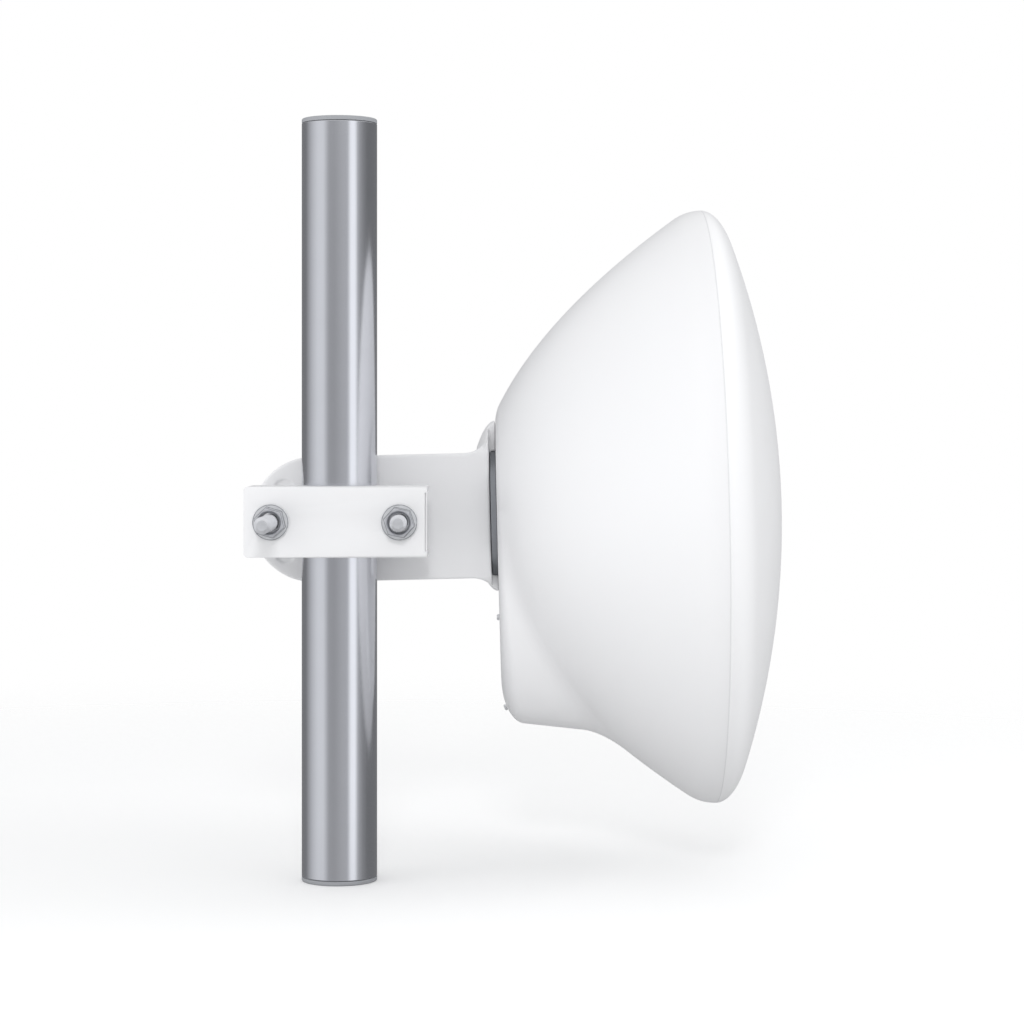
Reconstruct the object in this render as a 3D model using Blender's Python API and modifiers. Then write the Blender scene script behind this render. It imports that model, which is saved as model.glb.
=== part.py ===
# Dish antenna on a pole clamp.
# Metres, +Z up along the pole, +X the way the dish faces, origin at the centre of the pole's foot.
# The clamp turns about the pole, and the dish on its arm tilts about the clamp bolt nearest to it.

import math

import bmesh
import bpy
from mathutils import Vector

# Clearance between pieces that touch
GAP = 0.0003

# Pole
POLE_DIAMETER = 0.0508
POLE_WALL = 0.0026
POLE_LENGTH = 0.5140
PLUG_FLANGE = 0.0030
PLUG_DEPTH = 0.0180
PLUG_WALL = 0.0020

# Clamp channel on the near side of the pole
CLAMP_LENGTH = 0.1210
CLAMP_HEIGHT = 0.0470
CLAMP_DEPTH = 0.0390
CLAMP_SHEET = 0.0040
CLAMP_FRONT_Y = -0.0435
CLAMP_BEND = 0.0030
BOLT_SPACING = 0.0849
BOLT_HEIGHT = 0.2433

# Fasteners
BOLT_DIAMETER = 0.0120
BOLT_HOLE = 0.0130
BOLT_CHAMFER = 0.0012
HEX_ACROSS_FLATS = 0.0180
HEAD_HEIGHT = 0.0075
NUT_HEIGHT = 0.0100
NUT_RECESS_DIAMETER = 0.0157
NUT_RECESS_DEPTH = 0.0030
WASHER_DIAMETER = 0.0240
WASHER_THICKNESS = 0.0025
PIVOT_BOLT_REACH = 0.0210
SLOT_BOLT_REACH = 0.0570
PIVOT_NUT_TURN = math.radians(-17.7)
SLOT_NUT_TURN = math.radians(-13.5)

# Arm casting, given from the pivot bolt, with the dish level
ARM_HEIGHT = 0.0860
ARM_RISE = 0.0008
ARM_PLATE = 0.0080
ARM_NEAR_Y = POLE_DIAMETER / 2 + GAP
ARM_REACH_BACK = 0.1050
ARM_REACH_FRONT = 0.0592
SLOT_WIDTH = 0.0128
SLOT_HALF_ANGLE = math.radians(11.6)
RECESS_WIDTH = 0.0134
RECESS_HALF_ANGLE = math.radians(15.2)
RECESS_DEPTH = 0.0012
NECK_START_X = 0.0190
NECK_FILLET = 0.0330
FLARE_RADIUS = 0.0170
FLARE_TOP = 0.0560
FLARE_BOTTOM = 0.0490

# Round hub at the end of the arm
HUB_RISE = 0.0062
HUB_RADIUS = 0.0595
HUB_THICKNESS = 0.0132
HUB_CURVE = 0.00936
HUB_RING_CUT = 0.0200
HUB_SCREW_Y = 0.0300
HUB_SCREW_Z = 0.0260
HUB_SCREW_HEAD = 0.0090
HUB_SCREW_HEIGHT = 0.0050
PAD_RADIUS = 0.0450
PAD_RISE = 0.0015

# Dish head, with u measured forward along its axis from the seam
HEAD_TILT = math.radians(1.35)
DISH_OFFSET_Y = 0.0606
DISH_RISE = 0.0028
SEAM_X = 0.2095
SEAM_HALF_GAP = 0.0006
DISH_RADIUS = 0.2056
BOWL_FOCUS = 0.2778
BOWL_VERTEX = -0.1623
BOWL_RIM_START = -0.0193
BACK_PLANE = -0.1455
SHELL_WALL = 0.0030
BACK_WALL = 0.0050

# Radio housing low on the back of the bowl
HOUSING_HALF_WIDTH = 0.0720
HOUSING_DROP = 0.1465
HOUSING_DRAFT = 0.130
HOUSING_SQUARENESS = 2.4
HOUSING_BLEND = 0.0120
HOUSING_CORNER = 0.0148
BOWL_CORNER = 0.0029
CORNER_STRETCH = 1.94

# Port cover in the back of the housing, with a second screw below it on the rounded corner
COVER_TOP = -0.0705
COVER_BOTTOM = -0.1150
COVER_WIDTH = 0.0560
COVER_THICKNESS = 0.0019
COVER_CORNER = 0.0080
COVER_SCREW_DIAMETER = 0.0044
COVER_SCREW_HEIGHT = 0.0018
COVER_SCREW_INSET = 0.0040
CORNER_SCREW_TURN = math.radians(41.0)

# Radome
RADOME_APEX = 0.0503
RADOME_CAP_RADIUS = 0.5510
RADOME_WALL = 0.0026
RIM_CENTRE_RADIUS = 0.1475
RIM_DEPTH = 0.0240
RIM_JOIN_RADIUS = 0.1855

# Facets round each turned piece
FINE = 72
MEDIUM = 40
COARSE = 24

MODEL_NAME = "dish_antenna"


def clear_scene():
    for obj in list(bpy.data.objects):
        bpy.data.objects.remove(obj, do_unlink=True)


def make_collection(name):
    collection = bpy.data.collections.new(name)
    bpy.context.scene.collection.children.link(collection)
    return collection


def make_material(name, colour, roughness, metallic=0.0):
    material = bpy.data.materials.new(name)
    material.use_nodes = True
    shader = material.node_tree.nodes["Principled BSDF"]
    shader.inputs["Base Color"].default_value = (*colour, 1.0)
    shader.inputs["Roughness"].default_value = roughness
    shader.inputs["Metallic"].default_value = metallic
    return material


def make_empty(name, location, parent=None, tilt=0.0):
    empty = bpy.data.objects.new(name, None)
    bpy.data.collections[MODEL_NAME].objects.link(empty)
    empty.parent = parent
    empty.location = location
    empty.rotation_euler = (0.0, tilt, 0.0)
    return empty


def add_piece(name, mesh, material, parent=None, location=(0, 0, 0), rotation=(0, 0, 0)):
    piece = bpy.data.objects.new(name, mesh)
    bpy.data.collections[MODEL_NAME].objects.link(piece)
    mesh.materials.clear()
    mesh.materials.append(material)
    piece.parent = parent
    piece.location = location
    piece.rotation_euler = rotation
    return piece


def add_cutter(name, mesh, parent=None, location=(0, 0, 0), rotation=(0, 0, 0)):
    cutter = bpy.data.objects.new(name, mesh)
    bpy.data.collections["cutters"].objects.link(cutter)
    cutter.parent = parent
    cutter.location = location
    cutter.rotation_euler = rotation
    cutter.hide_render = True
    cutter.display_type = "WIRE"
    return cutter


def boolean(piece, cutter, operation="DIFFERENCE"):
    modifier = piece.modifiers.new(cutter.name, "BOOLEAN")
    modifier.object = cutter
    modifier.operation = operation
    modifier.solver = "EXACT"


def smooth_shading(mesh, angle=30.0):
    mesh.shade_smooth()
    mesh.set_sharp_from_angle(angle=math.radians(angle))


def box_mesh(name, size, centre=(0, 0, 0)):
    shape = bmesh.new()
    bmesh.ops.create_cube(shape, size=1.0)
    bmesh.ops.scale(shape, vec=Vector(size), verts=shape.verts)
    bmesh.ops.translate(shape, vec=Vector(centre), verts=shape.verts)
    mesh = bpy.data.meshes.new(name)
    shape.to_mesh(mesh)
    shape.free()
    return mesh


def cylinder_mesh(name, radius, length, sides, centre=(0, 0, 0)):
    shape = bmesh.new()
    bmesh.ops.create_cone(
        shape, cap_ends=True, segments=sides, radius1=radius, radius2=radius, depth=length
    )
    bmesh.ops.translate(shape, vec=Vector(centre), verts=shape.verts)
    mesh = bpy.data.meshes.new(name)
    shape.to_mesh(mesh)
    shape.free()
    smooth_shading(mesh)
    return mesh


def turned_mesh(name, profile, steps, closed=False):
    """Turn a profile of (radius, height) points about Z; its outer side runs from top to bottom."""
    line = bpy.data.meshes.new(name + "_profile")
    points = [(radius, 0.0, height) for radius, height in profile]
    edges = [(i, i + 1) for i in range(len(points) - 1)]
    if closed:
        edges.append((len(points) - 1, 0))
    line.from_pydata(points, edges, [])
    guide = bpy.data.objects.new(name + "_guide", line)
    bpy.context.scene.collection.objects.link(guide)
    screw = guide.modifiers.new("turn", "SCREW")
    screw.steps = steps
    screw.render_steps = steps
    screw.use_merge_vertices = True
    screw.merge_threshold = 0.0001
    depsgraph = bpy.context.evaluated_depsgraph_get()
    mesh = bpy.data.meshes.new_from_object(guide.evaluated_get(depsgraph))
    mesh.name = name
    bpy.data.objects.remove(guide, do_unlink=True)
    smooth_shading(mesh)
    return mesh


def plate_mesh(name, outline, thickness):
    """Fill a flat outline in XY, and give it its thickness about Z = 0."""
    curve = bpy.data.curves.new(name + "_outline", "CURVE")
    curve.dimensions = "2D"
    curve.fill_mode = "BOTH"
    curve.extrude = thickness / 2
    spline = curve.splines.new("POLY")
    spline.points.add(len(outline) - 1)
    for point, (x, y) in zip(spline.points, outline):
        point.co = (x, y, 0.0, 1.0)
    spline.use_cyclic_u = True
    guide = bpy.data.objects.new(name + "_guide", curve)
    bpy.context.scene.collection.objects.link(guide)
    depsgraph = bpy.context.evaluated_depsgraph_get()
    mesh = bpy.data.meshes.new_from_object(guide.evaluated_get(depsgraph))
    mesh.name = name
    bpy.data.objects.remove(guide, do_unlink=True)
    shape = bmesh.new()
    shape.from_mesh(mesh)
    bmesh.ops.remove_doubles(shape, verts=shape.verts, dist=0.00001)
    bmesh.ops.recalc_face_normals(shape, faces=shape.faces)
    shape.to_mesh(mesh)
    shape.free()
    return mesh


def arc(centre, radius, start, end, steps):
    """Points on an arc; angles in degrees, anticlockwise when end is larger than start."""
    points = []
    for i in range(steps + 1):
        angle = math.radians(start + (end - start) * i / steps)
        points.append((centre[0] + radius * math.cos(angle), centre[1] + radius * math.sin(angle)))
    return points


def rounded_rectangle(width, height, radius, steps=6):
    x = width / 2 - radius
    y = height / 2 - radius
    outline = arc((x, y), radius, 0, 90, steps)
    outline += arc((-x, y), radius, 90, 180, steps)
    outline += arc((-x, -y), radius, 180, 270, steps)
    outline += arc((x, -y), radius, 270, 360, steps)
    return outline


# Turned pieces stand on Z; these turn their axis to point towards -Y, or forward along the dish
FACE_NEAR = (math.radians(90.0), 0.0, 0.0)
FACE_FORWARD = (0.0, math.radians(90.0), 0.0)


def build_pole(steel, plastic):
    outer = POLE_DIAMETER / 2
    inner = outer - POLE_WALL
    top = POLE_LENGTH - PLUG_FLANGE - GAP
    foot = PLUG_FLANGE + GAP
    wall = [(outer, top), (outer, foot), (inner, foot), (inner, top)]
    add_piece("pole_tube", turned_mesh("pole_tube", wall, FINE, closed=True), steel)

    spigot = inner - GAP
    hollow = spigot - PLUG_WALL
    face = POLE_LENGTH
    lip = face - PLUG_FLANGE
    end = lip - PLUG_DEPTH
    plug = [(0.0, face), (outer, face), (outer, lip), (spigot, lip), (spigot, end), (hollow, end)]
    plug += [(hollow, lip), (0.0, lip)]
    add_piece("pole_top_plug", turned_mesh("pole_top_plug", plug, MEDIUM), plastic)

    foot_plug = [(radius, POLE_LENGTH - height) for radius, height in reversed(plug)]
    add_piece("pole_foot_plug", turned_mesh("pole_foot_plug", foot_plug, MEDIUM), plastic)


def build_clamp_channel(paint, parent):
    outline = clamp_face_outline()
    channel = add_piece(
        "clamp_channel",
        plate_mesh("clamp_channel", outline, CLAMP_DEPTH),
        paint,
        parent,
        (0.0, CLAMP_FRONT_Y + CLAMP_DEPTH / 2, 0.0),
        FACE_NEAR,
    )
    inside_height = CLAMP_HEIGHT - 2 * CLAMP_SHEET
    inside = add_cutter(
        "clamp_inside",
        box_mesh("clamp_inside", (2 * CLAMP_LENGTH, CLAMP_DEPTH, inside_height)),
        parent,
        (0.0, CLAMP_FRONT_Y + CLAMP_SHEET + CLAMP_DEPTH / 2, 0.0),
    )
    boolean(channel, inside)
    saddle = add_cutter(
        "clamp_saddle",
        cylinder_mesh("clamp_saddle", POLE_DIAMETER / 2 + GAP, 2 * CLAMP_HEIGHT, FINE),
        parent,
    )
    boolean(channel, saddle)
    for side in (-1, 1):
        hole = add_cutter(
            "clamp_hole_left" if side < 0 else "clamp_hole_right",
            cylinder_mesh("clamp_hole", BOLT_HOLE / 2, 4 * CLAMP_SHEET, COARSE),
            parent,
            (side * BOLT_SPACING / 2, CLAMP_FRONT_Y, 0.0),
            FACE_NEAR,
        )
        boolean(channel, hole)


def clamp_face_outline():
    """Front of the channel: rounded at the end away from the dish, square at the other."""
    half = CLAMP_LENGTH / 2
    rise = CLAMP_HEIGHT / 2
    left = -half + CLAMP_BEND
    outline = [(half, -rise), (half, rise)]
    outline += arc((left, rise - CLAMP_BEND), CLAMP_BEND, 90, 180, 5)
    outline += arc((left, CLAMP_BEND - rise), CLAMP_BEND, 180, 270, 5)
    return outline


def bolt_profile(reach):
    """Shank from the inner face of the head to its chamfered near end, standing on Z."""
    radius = BOLT_DIAMETER / 2
    near_face = -CLAMP_FRONT_Y + GAP + WASHER_THICKNESS
    top = near_face + reach
    foot = -(ARM_NEAR_Y + ARM_PLATE + 2 * GAP + WASHER_THICKNESS)
    profile = [(0.0, top), (radius - BOLT_CHAMFER, top), (radius, top - BOLT_CHAMFER)]
    profile += [(radius, foot), (0.0, foot)]
    return profile, foot


def build_bolt(name, x, reach, steel, parent):
    profile, foot = bolt_profile(reach)
    bolt = add_piece(name, turned_mesh(name, profile, COARSE), steel, parent, (x, 0.0, 0.0), FACE_NEAR)
    corner = HEX_ACROSS_FLATS / math.sqrt(3.0)
    head = add_cutter(
        name + "_head",
        cylinder_mesh(name + "_head", corner, HEAD_HEIGHT, 6, (0.0, 0.0, foot - HEAD_HEIGHT / 2)),
        parent,
        (x, 0.0, 0.0),
        FACE_NEAR,
    )
    boolean(bolt, head, "UNION")


def build_nut(name, x, turn, steel, parent):
    corner = HEX_ACROSS_FLATS / math.sqrt(3.0)
    seat = -CLAMP_FRONT_Y + 2 * GAP + WASHER_THICKNESS
    body = cylinder_mesh(name, corner, NUT_HEIGHT, 6, (0.0, 0.0, NUT_HEIGHT / 2))
    nut = add_piece(name, body, steel, parent, (x, -seat, 0.0), (math.radians(90.0), turn, 0.0))
    bore = BOLT_DIAMETER / 2 + GAP
    recess = NUT_RECESS_DIAMETER / 2
    step = NUT_HEIGHT - NUT_RECESS_DEPTH
    over = 2 * NUT_HEIGHT
    hole = [(0.0, over), (recess, over), (recess, step), (bore, step), (bore, -over), (0.0, -over)]
    cutter = add_cutter(
        name + "_bore", turned_mesh(name + "_bore", hole, COARSE), parent, (x, -seat, 0.0), FACE_NEAR
    )
    boolean(nut, cutter)


def build_washer(name, x, seat, steel, parent):
    """A washer whose lower face is at the given distance towards the near side."""
    outer = WASHER_DIAMETER / 2
    bore = BOLT_DIAMETER / 2 + GAP
    ring = [(outer, WASHER_THICKNESS), (outer, 0.0), (bore, 0.0), (bore, WASHER_THICKNESS)]
    mesh = turned_mesh(name, ring, COARSE, closed=True)
    add_piece(name, mesh, steel, parent, (x, -seat, 0.0), FACE_NEAR)


def build_fasteners(steel, parent):
    near_seat = -CLAMP_FRONT_Y + GAP
    far_seat = -(ARM_NEAR_Y + ARM_PLATE + GAP + WASHER_THICKNESS)
    for label, side, reach, turn in (
        ("pivot", 1, PIVOT_BOLT_REACH, PIVOT_NUT_TURN),
        ("slot", -1, SLOT_BOLT_REACH, SLOT_NUT_TURN),
    ):
        x = side * BOLT_SPACING / 2
        build_bolt(label + "_bolt", x, reach, steel, parent)
        build_nut(label + "_nut", x, turn, steel, parent)
        build_washer(label + "_washer_near", x, near_seat, steel, parent)
        build_washer(label + "_washer_far", x, far_seat, steel, parent)


def arm_side_outline():
    """Side view of the arm in X and Z from the pivot: a round back end and a flare at the hub."""
    half = ARM_HEIGHT / 2
    top = ARM_RISE + half
    bottom = ARM_RISE - half
    back = (-ARM_REACH_BACK + half, ARM_RISE)
    outline = arc(back, half, 90, 270, 20)
    turn = flare_turn(FLARE_BOTTOM - half)
    centre = (ARM_REACH_FRONT - FLARE_RADIUS * math.sin(turn), bottom - FLARE_RADIUS)
    outline += arc(centre, FLARE_RADIUS, 90, 90 - math.degrees(turn), 6)
    turn = flare_turn(FLARE_TOP - half)
    centre = (ARM_REACH_FRONT - FLARE_RADIUS * math.sin(turn), top + FLARE_RADIUS)
    outline += arc(centre, FLARE_RADIUS, -90 + math.degrees(turn), -90, 8)
    return outline


def flare_turn(rise):
    """Angle that a fillet turns through while it rises this far."""
    return math.acos(1.0 - rise / FLARE_RADIUS)


def slot_outline(width, angle):
    """Curved slot for the clamp bolt, about the pivot, with round ends."""
    half_angle = math.degrees(angle)
    half_width = width / 2
    outline = arc((0.0, 0.0), BOLT_SPACING + half_width, 180 - half_angle, 180 + half_angle, 12)
    end = math.radians(180 + half_angle)
    centre = (BOLT_SPACING * math.cos(end), BOLT_SPACING * math.sin(end))
    outline += arc(centre, half_width, 180 + half_angle, 360 + half_angle, 8)[1:-1]
    outline += arc((0.0, 0.0), BOLT_SPACING - half_width, 180 + half_angle, 180 - half_angle, 12)
    start = math.radians(180 - half_angle)
    centre = (BOLT_SPACING * math.cos(start), BOLT_SPACING * math.sin(start))
    outline += arc(centre, half_width, -half_angle, 180 - half_angle, 8)[1:-1]
    return outline


def neck_plan_outline():
    """Plan of the neck in X and Y: it sweeps from the far face of the plate out to the hub."""
    far = ARM_NEAR_Y + ARM_PLATE
    centre = (NECK_START_X, far + NECK_FILLET)
    front = ARM_REACH_FRONT - 2 * GAP
    sweep = arc(centre, NECK_FILLET, -90, 0, 10)
    outline = [(NECK_START_X, far - ARM_PLATE / 2)] + sweep
    outline += [(front, centre[1]), (front, far - ARM_PLATE / 2)]
    return outline


def hub_profile(height):
    """Domed hub standing on Z: its side curves in as it goes down from the height to its flat crown."""
    profile = [(0.0, height)]
    for i in range(9):
        depth = HUB_THICKNESS * i / 8
        profile.append((HUB_RADIUS - depth * depth / HUB_CURVE, height - depth))
    profile.append((0.0, height - HUB_THICKNESS))
    return profile


def build_arm(paint, parent):
    far = ARM_NEAR_Y + ARM_PLATE
    arm = add_piece(
        "mount_arm",
        plate_mesh("mount_arm", arm_side_outline(), ARM_PLATE),
        paint,
        parent,
        (0.0, ARM_NEAR_Y + ARM_PLATE / 2, 0.0),
        FACE_NEAR,
    )
    neck_height = ARM_HEIGHT - 2 * GAP
    neck = add_cutter("arm_neck", plate_mesh("arm_neck", neck_plan_outline(), neck_height), parent)
    neck.location.z = ARM_RISE
    boolean(arm, neck, "UNION")

    back_plane_x = SEAM_X + BACK_PLANE
    ring_height = back_plane_x - GAP - ARM_REACH_FRONT
    hub_place = (ARM_REACH_FRONT, DISH_OFFSET_Y, HUB_RISE)
    hub = add_cutter(
        "arm_hub", turned_mesh("arm_hub", hub_profile(ring_height), FINE), parent, hub_place, FACE_FORWARD
    )
    near_cut = add_cutter(
        "hub_near_cut",
        box_mesh("hub_near_cut", (0.2, 0.2, 0.2), (0.0, ARM_NEAR_Y + GAP - 0.1, 0.0)),
        parent,
        (ARM_REACH_FRONT, 0.0, HUB_RISE),
    )
    boolean(hub, near_cut)
    ring_cut = add_cutter(
        "hub_ring_cut",
        box_mesh("hub_ring_cut", (0.2, 0.2, 0.2), (0.1, ARM_NEAR_Y + HUB_RING_CUT - 0.1, 0.0)),
        parent,
        (ARM_REACH_FRONT - GAP, 0.0, HUB_RISE),
    )
    boolean(hub, ring_cut)
    boolean(arm, hub, "UNION")

    pocket = add_cutter(
        "hub_pad_pocket",
        cylinder_mesh("hub_pad_pocket", PAD_RADIUS + GAP, 2 * ring_height, MEDIUM),
        parent,
        (back_plane_x, DISH_OFFSET_Y, PAD_RISE),
        FACE_FORWARD,
    )
    boolean(arm, pocket)

    for label, width, angle, end in (
        ("arm_slot_recess", RECESS_WIDTH, RECESS_HALF_ANGLE, ARM_NEAR_Y + RECESS_DEPTH),
        ("arm_slot", SLOT_WIDTH, SLOT_HALF_ANGLE, far + ARM_PLATE),
    ):
        thickness = 3 * ARM_PLATE
        mesh = plate_mesh(label, slot_outline(width, angle), thickness)
        slot = add_cutter(label, mesh, parent, (0.0, end - thickness / 2, 0.0), FACE_NEAR)
        boolean(arm, slot)
    pivot = add_cutter(
        "arm_pivot_hole",
        cylinder_mesh("arm_pivot_hole", BOLT_DIAMETER / 2 + GAP, 4 * ARM_PLATE, COARSE),
        parent,
        (0.0, far, 0.0),
        FACE_NEAR,
    )
    boolean(arm, pivot)


def build_hub_pad(rubber, parent):
    """Grey sealing pad in the hub, between the casting and the back of the shell."""
    face = SEAM_X + BACK_PLANE - GAP
    thickness = face - ARM_REACH_FRONT - 2 * GAP
    add_piece(
        "hub_pad",
        cylinder_mesh("hub_pad", PAD_RADIUS, thickness, MEDIUM),
        rubber,
        parent,
        (face - thickness / 2, DISH_OFFSET_Y, PAD_RISE),
        FACE_FORWARD,
    )


def build_hub_screws(steel, parent):
    crown_x = SEAM_X + BACK_PLANE - GAP - HUB_THICKNESS
    for label, side in (("top", 1), ("bottom", -1)):
        mesh = cylinder_mesh("hub_screw_" + label, HUB_SCREW_HEAD / 2, HUB_SCREW_HEIGHT, COARSE)
        add_piece(
            "hub_screw_" + label,
            mesh,
            steel,
            parent,
            (
                crown_x - GAP - HUB_SCREW_HEIGHT / 2,
                DISH_OFFSET_Y + HUB_SCREW_Y,
                HUB_RISE + side * HUB_SCREW_Z,
            ),
            FACE_FORWARD,
        )


def bowl_radius(u):
    """Radius of the bowl of revolution: a parabola that rounds over at the rim."""
    if u <= BOWL_RIM_START:
        return math.sqrt(BOWL_FOCUS * (u - BOWL_VERTEX))
    start = math.sqrt(BOWL_FOCUS * (BOWL_RIM_START - BOWL_VERTEX))
    slope = BOWL_FOCUS / (2 * start) * -BOWL_RIM_START
    t = 1.0 - u / BOWL_RIM_START
    ease = t * t * (3.0 - 2.0 * t)
    return start + (DISH_RADIUS - start) * ease + slope * t * (1.0 - t) ** 2


def housing_radius(u, angle):
    """Distance from the dish axis to the housing wall; the angle is measured from straight down."""
    if math.cos(angle) <= 0.0:
        return 0.0
    widen = HOUSING_DRAFT * (u - BACK_PLANE)
    across = abs(math.sin(angle)) / (HOUSING_HALF_WIDTH + widen)
    down = math.cos(angle) / (HOUSING_DROP + widen)
    power = HOUSING_SQUARENESS
    return (across**power + down**power) ** (-1.0 / power)


def smooth_maximum(first, second, blend):
    overlap = max(blend - abs(first - second), 0.0) / blend
    return max(first, second) + overlap * overlap * blend / 4.0


def shell_radius(u, angle):
    return smooth_maximum(bowl_radius(u), housing_radius(u, angle), HOUSING_BLEND)


def corner_radius(angle):
    """Size of the rounding at the back edge: small on the bowl, larger round the housing."""
    reach = housing_radius(BACK_PLANE, angle) - bowl_radius(BACK_PLANE)
    share = min(max(reach / (HOUSING_DROP - bowl_radius(BACK_PLANE)), 0.0), 1.0)
    return BOWL_CORNER + (HOUSING_CORNER - BOWL_CORNER) * share


def shell_ring(station, inset=0.0, share=1.0, back=BACK_PLANE):
    """One ring of the shell at a station from 0, at its back edge, to 1, at its seam."""
    ring = []
    for i in range(FINE):
        angle = 2.0 * math.pi * i / FINE
        corner = max(corner_radius(angle) - inset, 0.001)
        if station < 0.2:
            turn = math.pi / 2 * station / 0.2
            u = back + corner * (1.0 - math.cos(turn))
            edge = corner * CORNER_STRETCH * (1.0 - math.sin(turn))
        else:
            first = back + corner
            u = first + (-SEAM_HALF_GAP - first) * (station - 0.2) / 0.8
            edge = 0.0
        radius = (shell_radius(u, angle) - inset - edge) * share
        ring.append(Vector((u, radius * math.sin(angle), -radius * math.cos(angle))))
    return ring


def shell_mesh(name):
    """Loft the outside from the seam to the back, cross its middle, and come forward inside."""
    stations = [1.0, 0.97, 0.92, 0.84, 0.74, 0.62, 0.52, 0.43, 0.34, 0.26]
    stations += [0.2, 0.17, 0.14, 0.11, 0.08, 0.05, 0.0]
    outside = [shell_ring(station) for station in stations] + [shell_ring(0.0, share=0.5)]
    inner_back = BACK_PLANE + BACK_WALL
    inside = [shell_ring(station, SHELL_WALL, back=inner_back) for station in stations[::2]]
    inside.append(shell_ring(0.0, SHELL_WALL, 0.5, inner_back))
    shape = bmesh.new()
    loops = []
    for ring in outside + inside[::-1]:
        loops.append([shape.verts.new(point) for point in ring])
    outer_centre = shape.verts.new((BACK_PLANE, 0.0, -HOUSING_DROP / 4))
    inner_centre = shape.verts.new((inner_back, 0.0, -HOUSING_DROP / 4))
    turning = len(outside)
    for i in range(FINE):
        j = (i + 1) % FINE
        for first, second in zip(loops, loops[1:]):
            if first is loops[turning - 1]:
                continue
            shape.faces.new((first[i], first[j], second[j], second[i]))
        shape.faces.new((loops[turning - 1][i], loops[turning - 1][j], outer_centre))
        shape.faces.new((loops[turning][j], loops[turning][i], inner_centre))
        shape.faces.new((loops[-1][i], loops[-1][j], loops[0][j], loops[0][i]))
    bmesh.ops.recalc_face_normals(shape, faces=shape.faces)
    mesh = bpy.data.meshes.new(name)
    shape.to_mesh(mesh)
    shape.free()
    smooth_shading(mesh, 40.0)
    return mesh


def build_shell(plastic, dish):
    shell = add_piece("rear_shell", shell_mesh("rear_shell"), plastic, dish)
    width = COVER_WIDTH + 2 * GAP
    height = COVER_TOP - COVER_BOTTOM + 2 * GAP
    depth = COVER_THICKNESS + GAP
    outline = rounded_rectangle(height, width, COVER_CORNER)
    pocket = add_cutter(
        "cover_pocket",
        plate_mesh("cover_pocket", outline, 2 * depth),
        dish,
        (BACK_PLANE, 0.0, (COVER_TOP + COVER_BOTTOM) / 2),
        FACE_FORWARD,
    )
    boolean(shell, pocket)


def build_port_cover(plastic, steel, dish):
    height = COVER_TOP - COVER_BOTTOM
    outline = rounded_rectangle(height, COVER_WIDTH, COVER_CORNER)
    add_piece(
        "port_cover",
        plate_mesh("port_cover", outline, COVER_THICKNESS),
        plastic,
        dish,
        (BACK_PLANE + COVER_THICKNESS / 2, 0.0, (COVER_TOP + COVER_BOTTOM) / 2),
        FACE_FORWARD,
    )
    screws = (
        ("top", BACK_PLANE, COVER_TOP - COVER_SCREW_INSET, 0.0),
        ("bottom", *corner_screw_seat()),
    )
    for label, u, z, lean in screws:
        name = "cover_screw_" + label
        mesh = cylinder_mesh(name, COVER_SCREW_DIAMETER / 2, COVER_SCREW_HEIGHT, COARSE)
        lift = 1.5 * GAP + COVER_SCREW_HEIGHT / 2
        place = (u - lift * math.cos(lean), 0.0, z - lift * math.sin(lean))
        add_piece(name, mesh, steel, dish, place, (0.0, math.radians(90.0) - lean, 0.0))


def corner_screw_seat():
    """Where the lower screw sits on the housing's rounded back corner, and how far it leans down."""
    across = HOUSING_CORNER * CORNER_STRETCH
    u = BACK_PLANE + HOUSING_CORNER * (1.0 - math.cos(CORNER_SCREW_TURN))
    drop = shell_radius(u, 0.0) - across * (1.0 - math.sin(CORNER_SCREW_TURN))
    lean = math.atan2(
        HOUSING_CORNER * math.sin(CORNER_SCREW_TURN), across * math.cos(CORNER_SCREW_TURN)
    )
    return u, -drop, lean


def radome_side(inset, cap_steps, rim_steps):
    """Half of the radome's section from the apex out to the seam, as (radius, height) points."""
    apex = RADOME_APEX - inset
    cap = RADOME_CAP_RADIUS - inset
    points = []
    for i in range(cap_steps):
        radius = RIM_JOIN_RADIUS * i / cap_steps
        points.append((radius, apex - cap + math.sqrt(cap * cap - radius * radius)))
    reach = DISH_RADIUS - RIM_CENTRE_RADIUS - inset
    depth = RIM_DEPTH - inset
    start = math.acos((RIM_JOIN_RADIUS - RIM_CENTRE_RADIUS) / reach)
    end = math.asin(SEAM_HALF_GAP / depth)
    for i in range(rim_steps + 1):
        angle = start + (end - start) * i / rim_steps
        points.append((RIM_CENTRE_RADIUS + reach * math.cos(angle), depth * math.sin(angle)))
    return points


def build_radome(plastic, dish):
    outside = radome_side(0.0, 7, 8)
    inside = radome_side(RADOME_WALL, 4, 5)
    mesh = turned_mesh("radome", outside + inside[::-1], FINE)
    add_piece("radome", mesh, plastic, dish, rotation=FACE_FORWARD)


def build_rim_gasket(rubber, dish):
    outer = DISH_RADIUS - 0.0006
    inner = outer - 0.0018
    half = SEAM_HALF_GAP - GAP
    ring = [(outer, half), (outer, -half), (inner, -half), (inner, half)]
    mesh = turned_mesh("rim_gasket", ring, FINE, closed=True)
    add_piece("rim_gasket", mesh, rubber, dish, rotation=FACE_FORWARD)


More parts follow.
